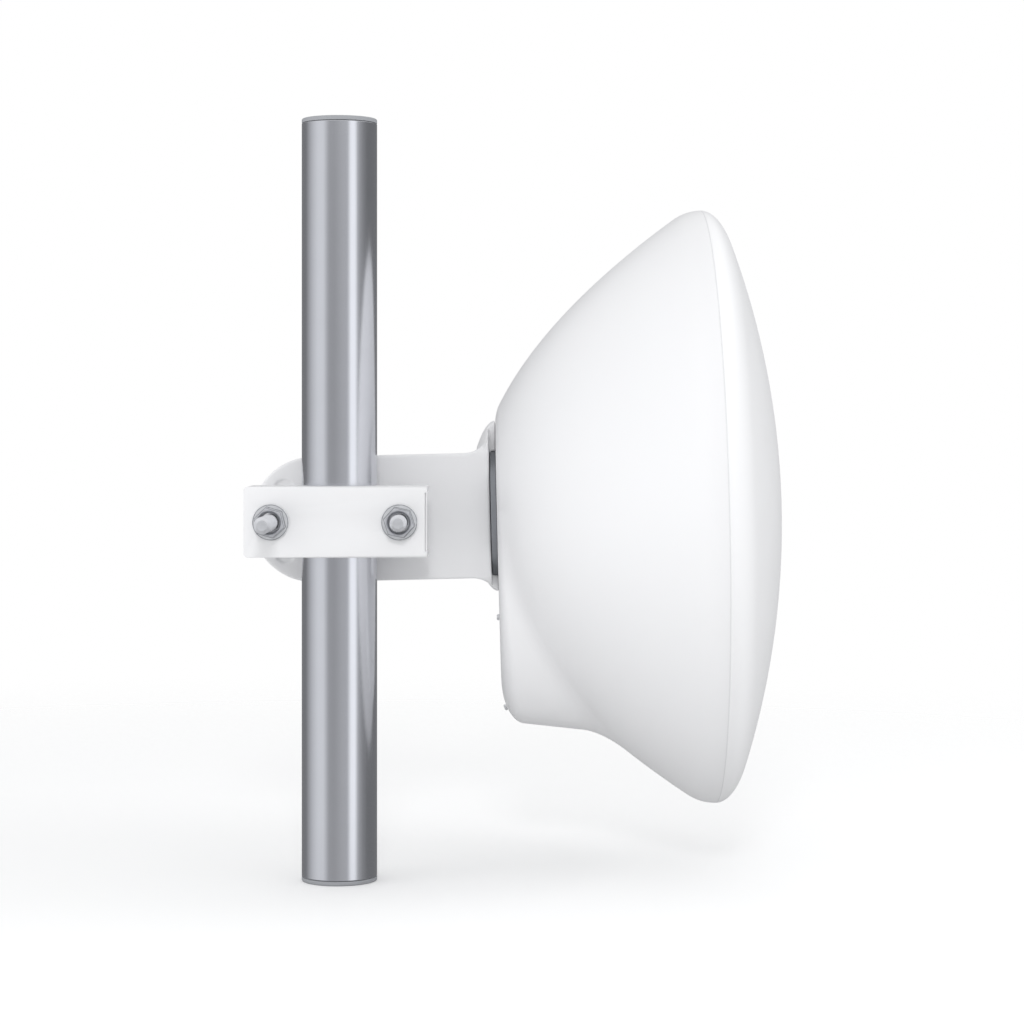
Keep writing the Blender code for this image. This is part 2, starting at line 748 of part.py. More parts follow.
def main():
    clear_scene()
    make_collection(MODEL_NAME)
    make_collection("cutters")

    white_shell = make_material("white_shell", (0.87, 0.87, 0.88), 0.42)
    white_radome = make_material("white_radome", (0.90, 0.90, 0.91), 0.38)
    white_paint = make_material("white_paint", (0.84, 0.84, 0.85), 0.50)
    plated_steel = make_material("plated_steel", (0.60, 0.61, 0.64), 0.32, 1.0)
    pole_steel = make_material("pole_steel", (0.62, 0.63, 0.66), 0.25, 1.0)
    grey_rubber = make_material("grey_rubber", (0.30, 0.30, 0.32), 0.80)
    grey_plastic = make_material("grey_plastic", (0.45, 0.46, 0.48), 0.60)

    build_pole(pole_steel, grey_plastic)

    clamp = make_empty("clamp_axis", (0.0, 0.0, BOLT_HEIGHT))
    build_clamp_channel(white_paint, clamp)
    build_fasteners(plated_steel, clamp)

    head = make_empty("elevation_axis", (BOLT_SPACING / 2, 0.0, 0.0), clamp, -HEAD_TILT)
    build_arm(white_paint, head)
    build_hub_pad(grey_rubber, head)
    build_hub_screws(plated_steel, head)

    dish = make_empty("dish_axis", (SEAM_X, DISH_OFFSET_Y, DISH_RISE), head)
    build_shell(white_shell, dish)
    build_port_cover(white_shell, plated_steel, dish)
    build_radome(white_radome, dish)
    build_rim_gasket(grey_rubber, dish)


main()
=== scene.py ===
import math

import bmesh
import bpy
from bpy.props import FloatProperty, FloatVectorProperty, IntProperty, PointerProperty
from mathutils import Euler, Matrix, Vector


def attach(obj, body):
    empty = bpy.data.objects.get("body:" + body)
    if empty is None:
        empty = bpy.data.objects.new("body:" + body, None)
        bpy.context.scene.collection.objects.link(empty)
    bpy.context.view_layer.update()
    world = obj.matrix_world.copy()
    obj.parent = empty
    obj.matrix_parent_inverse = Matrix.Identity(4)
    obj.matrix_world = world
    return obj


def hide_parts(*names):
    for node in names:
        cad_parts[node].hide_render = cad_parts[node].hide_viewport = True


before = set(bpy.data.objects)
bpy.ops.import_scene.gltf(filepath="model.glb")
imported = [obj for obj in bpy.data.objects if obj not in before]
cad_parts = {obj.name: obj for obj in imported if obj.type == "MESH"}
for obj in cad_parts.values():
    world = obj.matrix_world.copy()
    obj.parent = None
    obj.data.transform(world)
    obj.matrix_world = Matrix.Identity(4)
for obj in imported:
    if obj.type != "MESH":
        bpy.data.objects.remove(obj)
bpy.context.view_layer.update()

bl_info = {
    "name": "Dish Antenna on a Pole Clamp",
    "version": (1, 0, 0),
    "blender": (4, 5, 0),
    "location": "View3D > Sidebar > Dish Antenna",
    "description": "Models and finishes a parabolic dish antenna, its arm, clamp and pole",
    "category": "Object",
}

# Light cards round the studio: degrees from behind the camera, positive to the right, and brightness
CARD_STOPS = (
    (-180, 0.22),
    (-120, 0.24),
    (-104, 0.46),
    (-86, 0.70),
    (-66, 0.90),
    (-46, 0.90),
    (-30, 0.44),
    (-12, 0.42),
    (14, 0.54),
    (30, 0.54),
    (38, 1.30),
    (54, 1.30),
    (62, 0.50),
    (80, 0.30),
    (100, 0.20),
    (180, 0.22),
)
# Painted shade on the plated pieces, dark lines that stand in for contact shadow where the nut meets the
# washer and round the washer's rim: colour, strength, half widths and the washer line's inset
SHADE_LINE_COLOUR = (0.17, 0.18, 0.20, 1.0)
SHADE_LINE_LEAST = 0.25
SHADE_LINE_SPREAD = 0.9
NUT_LINE = 0.00050
WASHER_LINE = 0.00065
WASHER_LINE_INSET = 0.0003
# A turning centre far from the small screws, whose marks then run straight
FAR_CENTRE = (9.0, 0.0, 9.0)
LIGHT_TARGET = (0.10, 0.0, 0.26)
# Light that the floor throws up, and how far to the left it starts and is full
FLOOR_GLOW = 0.70
FLOOR_GLOW_SIDE = (-0.9, -0.45, 0.0)
FLOOR_GLOW_START = 0.05
FLOOR_GLOW_FULL = 0.60
FLOOR_LIFT = 0.12
# Brightness of the white room from below and from above, and its faintly cool tint
ROOM_LOW = 0.83
ROOM_HIGH = 0.86
ROOM_TINT = (0.985, 0.992, 1.0)
# Where the light cards give way to an even ceiling and foot, as the steepness of the reflection
CARDS_END = 0.30
CEILING_START = 0.55
CEILING_RANGE = 0.5
FOOT_SHADE = 0.35
CEILING_SHADE = 0.90
MM = 0.001
FACE_NEAR = (math.radians(90.0), 0.0, 0.0)
FACE_FORWARD = (0.0, math.radians(90.0), 0.0)
NO_TURN = (0.0, 0.0, 0.0)
ORIGIN = (0.0, 0.0, 0.0)


def length(name, default, description):
    return FloatProperty(name=name, default=default, description=description, unit="LENGTH", precision=5)


def turn(name, degrees, description):
    return FloatProperty(name=name, default=math.radians(degrees), description=description, subtype="ANGLE")


def tint(name, default, description):
    return FloatVectorProperty(
        name=name, default=default, description=description, subtype="COLOR", size=3, min=0.0, max=1.0
    )


def share(name, default, description):
    return FloatProperty(
        name=name, default=default, description=description, subtype="FACTOR", min=0.0, max=1.0
    )


class DishPoleSizes(bpy.types.PropertyGroup):
    diameter: length("Diameter", 0.0508, "Outside diameter of the steel tube")
    wall: length("Wall", 0.0026, "Wall of the steel tube")
    height: length("Height", 0.5140, "Length of the pole with both plugs in")
    flange: length("Plug Flange", 0.0030, "Thickness of a plug's flange")
    plug_depth: length("Plug Depth", 0.0180, "How far a plug reaches into the tube")
    plug_wall: length("Plug Wall", 0.0020, "Wall of a plug's spigot")
    gap: length("Gap", 0.0003, "Clearance between pieces that touch")


class DishClampSizes(bpy.types.PropertyGroup):
    width: length("Width", 0.1210, "Length of the channel across the pole")
    height: length("Height", 0.0470, "Height of the channel's web")
    depth: length("Depth", 0.0390, "Depth of the channel's flanges")
    sheet: length("Sheet", 0.0040, "Thickness of the channel's sheet")
    front: length("Front", -0.0435, "Where the near face of the web is, along Y")
    corner: length("Corner", 0.0030, "Rounding at the end away from the dish")
    bend: length("Bend", 0.0022, "Outer radius of the bends along the web")
    groove: length("Groove", 0.0007, "Width of the groove across the web at its open end")
    spacing: length("Bolt Spacing", 0.0849, "Distance between the two clamp bolts")
    level: length("Bolt Level", 0.2433, "Height of the clamp bolts above the pole's foot")


class DishBoltSizes(bpy.types.PropertyGroup):
    diameter: length("Bolt", 0.0120, "Diameter of the plain shank and of the bores")
    thread: length("Thread", 0.0110, "Outside diameter of the thread")
    pitch: length("Pitch", 0.00175, "Distance from one thread to the next")
    flats: length("Across Flats", 0.0180, "Width of nuts and heads across flats")
    head: length("Head Height", 0.0075, "Height of the bolt heads")
    nut: length("Nut Height", 0.0100, "Height of the nuts")
    recess: length("Recess", 0.0150, "Diameter of the recess in a nut")
    recess_depth: length("Recess Depth", 0.0040, "Depth of the recess in a nut")
    recess_foot: length("Recess Foot", 0.0132, "Diameter at the foot of the recess")
    tip: length("Tip Face", 0.0068, "Diameter of the flat face at a bolt's end")
    tip_length: length("Tip Length", 0.0022, "Length of the cone at a bolt's end")
    washer: length("Washer", 0.0240, "Outside diameter of the washers")
    washer_thick: length("Washer Thickness", 0.0025, "Thickness of the washers")
    pivot_reach: length("Pivot Reach", 0.0210, "How far the pivot bolt stands out of its washer")
    slot_reach: length("Slot Reach", 0.0570, "How far the slot bolt stands out of its washer")
    pivot_turn: turn("Pivot Nut Turn", -17.7, "Turn of the nut on the pivot bolt")
    slot_turn: turn("Slot Nut Turn", -13.5, "Turn of the nut on the slot bolt")


class DishArmSizes(bpy.types.PropertyGroup):
    height: length("Height", 0.0860, "Height of the arm's plate")
    rise: length("Rise", 0.0008, "Height of the arm's middle above the pivot bolt")
    plate: length("Plate", 0.0080, "Thickness of the plate")
    back: length("Back", 0.1050, "From the pivot bolt to the round end")
    front: length("Front", 0.0592, "From the pivot bolt to the hub's ring")
    slot_width: length("Slot Width", 0.0128, "Width of the curved slot")
    slot_angle: turn("Slot Half Angle", 11.6, "Half the angle of the curved slot about the pivot")
    recess_width: length("Recess Width", 0.0134, "Width of the shallow recess round the slot")
    recess_angle: turn("Recess Half Angle", 15.2, "Half the angle of the recess about the pivot")
    recess_depth: length("Recess Depth", 0.0012, "Depth of the recess round the slot")
    neck_start: length("Neck Start", 0.0190, "Where the neck begins to sweep out to the hub")
    neck_fillet: length("Neck Fillet", 0.0330, "Radius of the neck's sweep")
    flare: length("Flare Radius", 0.0170, "Radius of the flares at the hub")
    flare_top: length("Flare Top", 0.0560, "Height of the upper flare above the arm's middle")
    flare_bottom: length("Flare Bottom", 0.0490, "Drop of the lower flare below the arm's middle")
    flare_lean: turn("Flare Lean", 38.0, "How far the near face of a flare leans back")
    hub_rise: length("Hub Rise", 0.0062, "Height of the hub's centre above the pivot bolt")
    hub_radius: length("Hub Radius", 0.0595, "Radius of the round hub")
    hub_thick: length("Hub Thickness", 0.0132, "Thickness of the hub with its crown")
    hub_curve: length("Hub Curve", 0.00936, "How quickly the hub's side curves in")
    ring_cut: length("Ring Cut", 0.0200, "How far the hub's ring is cut back from the near face")
    screw_across: length("Screw Offset", 0.0300, "Hub screws' place beyond the hub's centre")
    screw_up: length("Screw Rise", 0.0260, "Hub screws' place above and below the centre")
    screw_head: length("Screw Head", 0.0090, "Diameter of a hub screw's head")
    screw_height: length("Screw Height", 0.0050, "Height of a hub screw's head")
    pad: length("Pad Radius", 0.0450, "Radius of the sealing pad")
    pad_rise: length("Pad Rise", 0.0015, "Height of the pad's centre above the pivot bolt")
    edge: length("Edge", 0.0012, "Rounding of the casting's edges")


class DishHeadSizes(bpy.types.PropertyGroup):
    tilt: turn("Tilt", 1.35, "How far the dish looks up")
    across: length("Axis Offset", 0.0606, "From the pole's axis to the dish's axis")
    rise: length("Axis Rise", 0.0028, "Height of the dish's axis above the pivot bolt")
    seam: length("Seam", 0.2095, "From the pivot bolt to the seam round the rim")
    half_gap: length("Half Gap", 0.0003, "Half the gap at the seam")
    radius: length("Radius", 0.2056, "Outside radius of the dish")
    focus: length("Curve", 0.2778, "How quickly the bowl opens")
    vertex: length("Vertex", -0.1623, "Where the bowl's curve would close, behind the seam")
    rim: length("Rim Start", -0.0193, "Where the bowl starts to round over at the rim")
    back: length("Back Plane", -0.1455, "Flat back of the shell, behind the seam")
    wall: length("Wall", 0.0030, "Wall of the shell")
    edge: length("Seam Edge", 0.00015, "Rounding of the two edges at the seam")


class DishHousingSizes(bpy.types.PropertyGroup):
    half_width: length("Half Width", 0.0720, "Half the housing's width at its back")
    drop: length("Drop", 0.1465, "How far the housing reaches below the dish's axis")
    draft: FloatProperty(name="Draft", default=0.130, description="How the housing widens towards the dish")
    square: FloatProperty(name="Squareness", default=2.4, description="How square the housing's outline is")
    blend: length("Blend", 0.0120, "Size of the blend where the housing meets the bowl")
    corner: length("Corner", 0.0148, "Depth of the rounding at the housing's back edge")
    bowl_corner: length("Bowl Corner", 0.0029, "Depth of the rounding at the bowl's back edge")
    stretch: FloatProperty(
        name="Corner Stretch", default=1.94, description="How much longer the rounding is along the back"
    )
    cover_top: length("Cover Top", -0.0705, "Upper edge of the port cover")
    cover_bottom: length("Cover Bottom", -0.1150, "Lower edge of the port cover")
    cover_width: length("Cover Width", 0.0560, "Width of the port cover")
    cover_thick: length("Cover Thickness", 0.0019, "Thickness of the port cover")
    cover_corner: length("Cover Corner", 0.0080, "Corner radius of the port cover")
    screw: length("Screw", 0.0044, "Diameter of a cover screw's head")
    screw_height: length("Screw Height", 0.0018, "Height of a cover screw's head")
    screw_inset: length("Screw Inset", 0.0040, "From the cover's upper edge to its screw")
    corner_screw: turn("Corner Screw", 41.0, "Where the lower screw sits round the housing's back corner")


class DishRadomeSizes(bpy.types.PropertyGroup):
    apex: length("Apex", 0.0503, "Front of the radome, ahead of the seam")
    cap: length("Cap Radius", 0.5510, "Radius of the front's shallow curve")
    wall: length("Wall", 0.0026, "Wall of the radome")
    rim_centre: length("Rim Centre", 0.1475, "Radius where the rim's curve is centred")
    rim_depth: length("Rim Depth", 0.0240, "Depth of the rim's curve")
    join: length("Join", 0.1855, "Radius where the rim meets the front's curve")


class DishFinishes(bpy.types.PropertyGroup):
    shell: tint("Shell", (0.85, 0.85, 0.86), "Moulded white plastic of the rear shell")
    shell_gloss: share("Shell Roughness", 0.40, "Roughness of the rear shell")
    radome: tint("Radome", (0.89, 0.89, 0.90), "Moulded white plastic of the radome")
    radome_gloss: share("Radome Roughness", 0.36, "Roughness of the radome")
    paint: tint("Paint", (0.82, 0.82, 0.83), "White powder coat on the arm and clamp")
    paint_gloss: share("Paint Roughness", 0.48, "Roughness of the powder coat")
    steel: tint("Plated Steel", (0.82, 0.83, 0.85), "Zinc plate on washers and screws")
    bolt: tint("Bolt Plate", (0.70, 0.71, 0.74), "Zinc plate on the bolts")
    nut: tint("Nut Plate", (0.62, 0.63, 0.66), "Duller zinc plate on the nuts")
    steel_gloss: share("Plated Roughness", 0.34, "Roughness of the zinc plate")
    tube: tint("Pole Steel", (0.66, 0.67, 0.71), "Drawn steel of the pole")
    tube_gloss: share("Pole Roughness", 0.20, "Roughness of the pole")
    # The sealing pad is grey rubber, its tone set to stand in for the shade deep in the gap between the arm
    # and the shell: partly painted shade.
    rubber: tint("Rubber", (0.25, 0.26, 0.28), "Grey sealing rubber")
    gasket: tint("Gasket", (0.78, 0.78, 0.79), "Pale gasket in the rim's seam")
    plug: tint("Plug", (0.34, 0.35, 0.37), "Grey plastic of the pole's plugs")
    floor: tint("Floor", (0.90, 0.90, 0.90), "Pale studio floor")


class DishStageSizes(bpy.types.PropertyGroup):
    floor: length("Floor Radius", 1.6, "Radius of the round floor")
    camera: FloatVectorProperty(
        name="Camera", default=(0.1186, -1.7660, 0.3074), description="Place of the camera", subtype="XYZ",
        unit="LENGTH",
    )
    lens: FloatProperty(name="Lens", default=91.884, description="Focal length on a 36 mm frame")
    shift_x: FloatProperty(name="Shift X", default=-0.00293, description="Sideways shift of the frame")
    shift_y: FloatProperty(name="Shift Y", default=-0.08496, description="Upright shift of the frame")
    steps: IntProperty(name="Steps", default=256, description="Facets round the dish", min=32, max=512)


GROUPS = {
    "dish_pole": DishPoleSizes,
    "dish_clamp": DishClampSizes,
    "dish_bolts": DishBoltSizes,
    "dish_arm": DishArmSizes,
    "dish_head": DishHeadSizes,
    "dish_housing": DishHousingSizes,
    "dish_radome": DishRadomeSizes,
    "dish_finishes": DishFinishes,
    "dish_stage": DishStageSizes,
}


def clamp_frame(scene):
    return Matrix.Translation((0.0, 0.0, scene.dish_clamp.level))


def head_frame(scene):
    pivot = Matrix.Translation((scene.dish_clamp.spacing / 2, 0.0, scene.dish_clamp.level))
    return pivot @ Matrix.Rotation(-scene.dish_head.tilt, 4, "Y")


def dish_frame(scene):
    head = scene.dish_head
    return head_frame(scene) @ Matrix.Translation((head.seam, head.across, head.rise))


def arc(centre, radius, start, end, steps):
    """Points on an arc; angles in degrees."""
    points = []
    for i in range(steps + 1):
        angle = math.radians(start + (end - start) * i / steps)
        points.append((centre[0] + radius * math.cos(angle), centre[1] + radius * math.sin(angle)))
    return points


def deselect():
    bpy.ops.object.select_all(action="DESELECT")


def select_only(piece):
    deselect()
    piece.select_set(True)
    bpy.context.view_layer.objects.active = piece


def edit(piece):
    select_only(piece)
    bpy.ops.object.mode_set(mode="EDIT")
    return bmesh.from_edit_mesh(piece.data)


def leave_edit():
    bpy.ops.object.mode_set(mode="OBJECT")


def pick(shape, mesh, mode, test):
    """Select the vertices, edges or faces that pass the test, and nothing else."""
    bpy.ops.mesh.select_mode(type=mode)
    bpy.ops.mesh.select_all(action="DESELECT")
    parts = {"VERT": shape.verts, "EDGE": shape.edges, "FACE": shape.faces}[mode]
    for part in parts:
        if test(part):
            part.select_set(True)
    bmesh.update_edit_mesh(mesh)


def name_new(name):
    piece = bpy.context.object
    piece.name = name
    piece.data.name = name
    return piece


def add_cube(name, size, centre=ORIGIN):
    deselect()
    bpy.ops.mesh.primitive_cube_add(size=1.0, location=centre)
    piece = name_new(name)
    piece.scale = size
    bpy.ops.object.transform_apply(location=True, rotation=True, scale=True)
    return piece


def add_cylinder(name, radius, depth, sides, centre=ORIGIN, ends="NGON"):
    deselect()
    bpy.ops.mesh.primitive_cylinder_add(
        vertices=sides, radius=radius, depth=depth, location=centre, end_fill_type=ends
    )
    piece = name_new(name)
    bpy.ops.object.transform_apply(location=True, rotation=True, scale=True)
    return piece


def draw_line(name, points, closed=False):
    """Draw a line of edges through the points by extruding one corner of a plane."""
    deselect()
    bpy.ops.mesh.primitive_plane_add(size=MM)
    piece = name_new(name)
    bpy.ops.object.mode_set(mode="EDIT")
    bpy.ops.mesh.select_mode(type="VERT")
    bpy.ops.mesh.select_all(action="SELECT")
    bpy.ops.mesh.merge(type="CENTER")
    shape = bmesh.from_edit_mesh(piece.data)
    shape.verts.ensure_lookup_table()
    shape.verts[0].co = points[0]
    shape.verts[0].select_set(True)
    bmesh.update_edit_mesh(piece.data)
    for first, second in zip(points, points[1:]):
        step = Vector(second) - Vector(first)
        bpy.ops.mesh.extrude_vertices_move(TRANSFORM_OT_translate={"value": step})
    if closed:
        shape = bmesh.from_edit_mesh(piece.data)
        shape.verts.ensure_lookup_table()
        ends = [v for v in shape.verts if len(v.link_edges) < 2]
        bpy.ops.mesh.select_all(action="DESELECT")
        for end in ends:
            end.select_set(True)
        bmesh.update_edit_mesh(piece.data)
        bpy.ops.mesh.edge_face_add()
    bpy.ops.mesh.select_all(action="SELECT")
    return piece


def fill_and_raise(name, outline, depth, base=0.0):
    """Fill a flat outline in XY and raise it from the base by its depth along Z."""
    piece = draw_line(name, [(x, y, base) for x, y in outline], closed=True)
    bpy.ops.mesh.edge_face_add()
    bpy.ops.mesh.extrude_region_move(TRANSFORM_OT_translate={"value": (0.0, 0.0, depth)})
    bpy.ops.mesh.select_all(action="SELECT")
    bpy.ops.mesh.normals_make_consistent(inside=False)
    leave_edit()
    return piece


def lathe(name, profile, steps, closed=False, centre=ORIGIN, axis=(0.0, 0.0, 1.0)):
    """Spin a profile of (radius, height) points about Z, and close its poles."""
    piece = draw_line(name, [(radius, 0.0, height) for radius, height in profile], closed)
    bpy.ops.mesh.spin(steps=steps, angle=2.0 * math.pi, center=centre, axis=axis)
    bpy.ops.mesh.select_all(action="SELECT")
    bpy.ops.mesh.remove_doubles(threshold=0.00001)
    bpy.ops.mesh.normals_make_consistent(inside=False)
    leave_edit()
    return piece


def apply_modifier(piece, kind, **values):
    select_only(piece)
    modifier = piece.modifiers.new(kind.lower(), kind)
    for key, value in values.items():
        setattr(modifier, key, value)
    bpy.ops.object.modifier_apply(modifier=modifier.name)


def combine(piece, cutter, operation="DIFFERENCE"):
    apply_modifier(piece, "BOOLEAN", object=cutter, operation=operation, solver="EXACT")
    bpy.data.objects.remove(cutter, do_unlink=True)


def soften(piece, width, segments=3, angle=35.0):
    apply_modifier(
        piece, "BEVEL", width=width, segments=segments, limit_method="ANGLE",
        angle_limit=math.radians(angle), use_clamp_overlap=True, harden_normals=False,
    )


def cast_skin(piece, voxel, passes):
    """Give a casting one soft skin: remesh it, then relax its edges."""
    apply_modifier(piece, "REMESH", mode="VOXEL", voxel_size=voxel, adaptivity=0.0)
    apply_modifier(piece, "SMOOTH", factor=0.5, iterations=passes)


def settle(piece, base, place=ORIGIN, rotation=NO_TURN):
    """Put a piece that was modelled at the origin in its place, and keep the place in its mesh."""
    select_only(piece)
    piece.matrix_world = base @ Matrix.LocRotScale(Vector(place), Euler(rotation), None)
    bpy.ops.object.transform_apply(location=True, rotation=True, scale=True)


def copy_piece(piece, name):
    twin = piece.copy()
    twin.data = piece.data.copy()
    twin.name = name
    twin.data.name = name
    bpy.context.scene.collection.objects.link(twin)
    return twin


def dress(piece, material, body, slot, *nodes, angle=32.0):
    """Shade and finish a piece, hang it on the body it rides on, and hide the solids it stands for."""
    select_only(piece)
    bpy.ops.object.shade_smooth_by_angle(angle=math.radians(angle))
    piece.data.materials.clear()
    piece.data.materials.append(material)
    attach(piece, body)
    if nodes:
        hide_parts(*nodes)
    deselect()
    return piece


def new_group(name, inputs, outputs):
    """A shader node group with named inputs and outputs."""
    tree = bpy.data.node_groups.new(name, "ShaderNodeTree")
    for label, kind, default in inputs:
        socket = tree.interface.new_socket(name=label, in_out="INPUT", socket_type=kind)
        socket.default_value = default
    for label, kind in outputs:
        tree.interface.new_socket(name=label, in_out="OUTPUT", socket_type=kind)
    return tree, tree.nodes.new("NodeGroupInput"), tree.nodes.new("NodeGroupOutput")


def add_noise(tree, place, scale, detail=2.0, roughness=0.5):
    noise = tree.nodes.new("ShaderNodeTexNoise")
    noise.inputs["Detail"].default_value = detail
    noise.inputs["Roughness"].default_value = roughness
    tree.links.new(place, noise.inputs["Vector"])
    if isinstance(scale, float):
        noise.inputs["Scale"].default_value = scale
    else:
        tree.links.new(scale, noise.inputs["Scale"])
    return noise.outputs["Fac"]


def add_math(tree, operation, first, second=None, third=None):
    node = tree.nodes.new("ShaderNodeMath")
    node.operation = operation
    for socket, value in zip(node.inputs, (first, second, third)):
        if value is None:
            continue
        if isinstance(value, float):
            socket.default_value = value
        else:
            tree.links.new(value, socket)
    return node.outputs["Value"]


def build_drift_group():
    """Slow, faint change of tone over a surface, as a colour and a plain value."""
    tree, source, sink = new_group(
        "tone_drift",
        [
            ("Place", "NodeSocketVector", ORIGIN),
            ("Colour", "NodeSocketColor", (0.8, 0.8, 0.8, 1.0)),
            ("Amount", "NodeSocketFloat", 0.03),
            ("Scale", "NodeSocketFloat", 12.0),
        ],
        [("Colour", "NodeSocketColor"), ("Value", "NodeSocketFloat")],
    )
    noise = add_noise(tree, source.outputs["Place"], source.outputs["Scale"], 3.0)
    centred = add_math(tree, "SUBTRACT", noise, 0.5)
    value = add_math(tree, "MULTIPLY_ADD", centred, source.outputs["Amount"], 1.0)
    scaled = tree.nodes.new("ShaderNodeVectorMath")
    scaled.operation = "SCALE"
    tree.links.new(source.outputs["Colour"], scaled.inputs[0])
    tree.links.new(value, scaled.inputs["Scale"])
    tree.links.new(scaled.outputs["Vector"], sink.inputs["Colour"])
    tree.links.new(value, sink.inputs["Value"])
    return tree


def build_grain_group():
    """Fine texture of a moulded or powder-coated skin, as a height and a roughness."""
    tree, source, sink = new_group(
        "skin_grain",
        [
            ("Place", "NodeSocketVector", ORIGIN),
            ("Scale", "NodeSocketFloat", 900.0),
            ("Roughness", "NodeSocketFloat", 0.4),
            ("Spread", "NodeSocketFloat", 0.06),
        ],
        [("Height", "NodeSocketFloat"), ("Roughness", "NodeSocketFloat")],
    )
    fine = add_noise(tree, source.outputs["Place"], source.outputs["Scale"], 2.0)
    broad_scale = add_math(tree, "MULTIPLY", source.outputs["Scale"], 0.23)
    broad = add_noise(tree, source.outputs["Place"], broad_scale, 1.0)
    height = add_math(tree, "MULTIPLY_ADD", broad, 0.5, fine)
    patch_scale = add_math(tree, "MULTIPLY", source.outputs["Scale"], 0.03)
    patch = add_noise(tree, source.outputs["Place"], patch_scale, 3.0)
    centred = add_math(tree, "SUBTRACT", patch, 0.5)
    rough = add_math(tree, "MULTIPLY_ADD", centred, source.outputs["Spread"], source.outputs["Roughness"])
    tree.links.new(height, sink.inputs["Height"])
    tree.links.new(rough, sink.inputs["Roughness"])
    return tree


def build_ring_group():
    """Turning marks: fine rings about the Z axis of the place that comes in."""
    tree, source, sink = new_group(
        "turning_rings",
        [("Place", "NodeSocketVector", ORIGIN), ("Scale", "NodeSocketFloat", 2500.0)],
        [("Height", "NodeSocketFloat")],
    )
    split = tree.nodes.new("ShaderNodeSeparateXYZ")
    tree.links.new(source.outputs["Place"], split.inputs["Vector"])
    across = add_math(tree, "MULTIPLY", split.outputs["X"], split.outputs["X"])
    up = add_math(tree, "MULTIPLY", split.outputs["Y"], split.outputs["Y"])
    radius = add_math(tree, "SQRT", add_math(tree, "ADD", across, up))
    scaled = add_math(tree, "MULTIPLY", radius, source.outputs["Scale"])
    joined = tree.nodes.new("ShaderNodeCombineXYZ")
    tree.links.new(scaled, joined.inputs["X"])
    noise = add_noise(tree, joined.outputs["Vector"], 1.0, 2.0)
    tree.links.new(noise, sink.inputs["Height"])
    return tree


def build_outline_group():
    """How far a place lies from the Z axis, measured to a circle and to the side of a hexagon."""
    tree, source, sink = new_group(
        "axis_outlines",
        [("Place", "NodeSocketVector", ORIGIN)],
        [("Circle", "NodeSocketFloat"), ("Hexagon", "NodeSocketFloat")],
    )
    split = tree.nodes.new("ShaderNodeSeparateXYZ")
    tree.links.new(source.outputs["Place"], split.inputs["Vector"])
    across = add_math(tree, "MULTIPLY", split.outputs["X"], split.outputs["X"])
    up = add_math(tree, "MULTIPLY", split.outputs["Y"], split.outputs["Y"])
    tree.links.new(add_math(tree, "SQRT", add_math(tree, "ADD", across, up)), sink.inputs["Circle"])
    furthest = None
    for degrees in (30.0, 90.0, 150.0):
        angle = math.radians(degrees)
        part = add_math(tree, "MULTIPLY", split.outputs["X"], math.sin(angle))
        total = add_math(tree, "MULTIPLY_ADD", split.outputs["Y"], math.cos(angle), part)
        side = add_math(tree, "ABSOLUTE", total)
        furthest = side if furthest is None else add_math(tree, "MAXIMUM", furthest, side)
    tree.links.new(furthest, sink.inputs["Hexagon"])
    return tree


def build_streak_group():
    """Drawing marks along Z: fine lines round the tube, long along it."""
    tree, source, sink = new_group(
        "drawn_streaks",
        [
            ("Place", "NodeSocketVector", ORIGIN),
            ("Scale", "NodeSocketFloat", 1800.0),
            ("Stretch", "NodeSocketFloat", 0.006),
        ],
        [("Height", "NodeSocketFloat")],
    )
    split = tree.nodes.new("ShaderNodeSeparateXYZ")
    tree.links.new(source.outputs["Place"], split.inputs["Vector"])
    joined = tree.nodes.new("ShaderNodeCombineXYZ")
    tree.links.new(split.outputs["X"], joined.inputs["X"])
    tree.links.new(split.outputs["Y"], joined.inputs["Y"])
    squeezed = add_math(tree, "MULTIPLY", split.outputs["Z"], source.outputs["Stretch"])
    tree.links.new(squeezed, joined.inputs["Z"])
    noise = add_noise(tree, joined.outputs["Vector"], source.outputs["Scale"], 3.0, 0.6)
    tree.links.new(noise, sink.inputs["Height"])
    return tree


def shared_group(name):
    makers = {
        "tone_drift": build_drift_group,
        "skin_grain": build_grain_group,
        "turning_rings": build_ring_group,
        "axis_outlines": build_outline_group,
        "drawn_streaks": build_streak_group,
    }
    return bpy.data.node_groups.get(name) or makers[name]()


def place_group(tree, name, place, **values):
    node = tree.nodes.new("ShaderNodeGroup")
    node.node_tree = shared_group(name)
    tree.links.new(place, node.inputs["Place"])
    for label, value in values.items():
        node.inputs[label].default_value = value
    return node


def start_material(name, metallic=0.0):
    """A material with its Principled shader, and the place on the piece from object coordinates."""
    material = bpy.data.materials.new(name)
    material.use_nodes = True
    tree = material.node_tree
    shader = tree.nodes["Principled BSDF"]
    shader.inputs["Metallic"].default_value = metallic
    coordinates = tree.nodes.new("ShaderNodeTexCoord")
    mapping = tree.nodes.new("ShaderNodeMapping")
    tree.links.new(coordinates.outputs["Object"], mapping.inputs["Vector"])
    return material, tree, shader, mapping


def add_bump(tree, shader, height, strength, distance):
    bump = tree.nodes.new("ShaderNodeBump")
    bump.inputs["Strength"].default_value = strength
    bump.inputs["Distance"].default_value = distance
    tree.links.new(height, bump.inputs["Height"])
    tree.links.new(bump.outputs["Normal"], shader.inputs["Normal"])


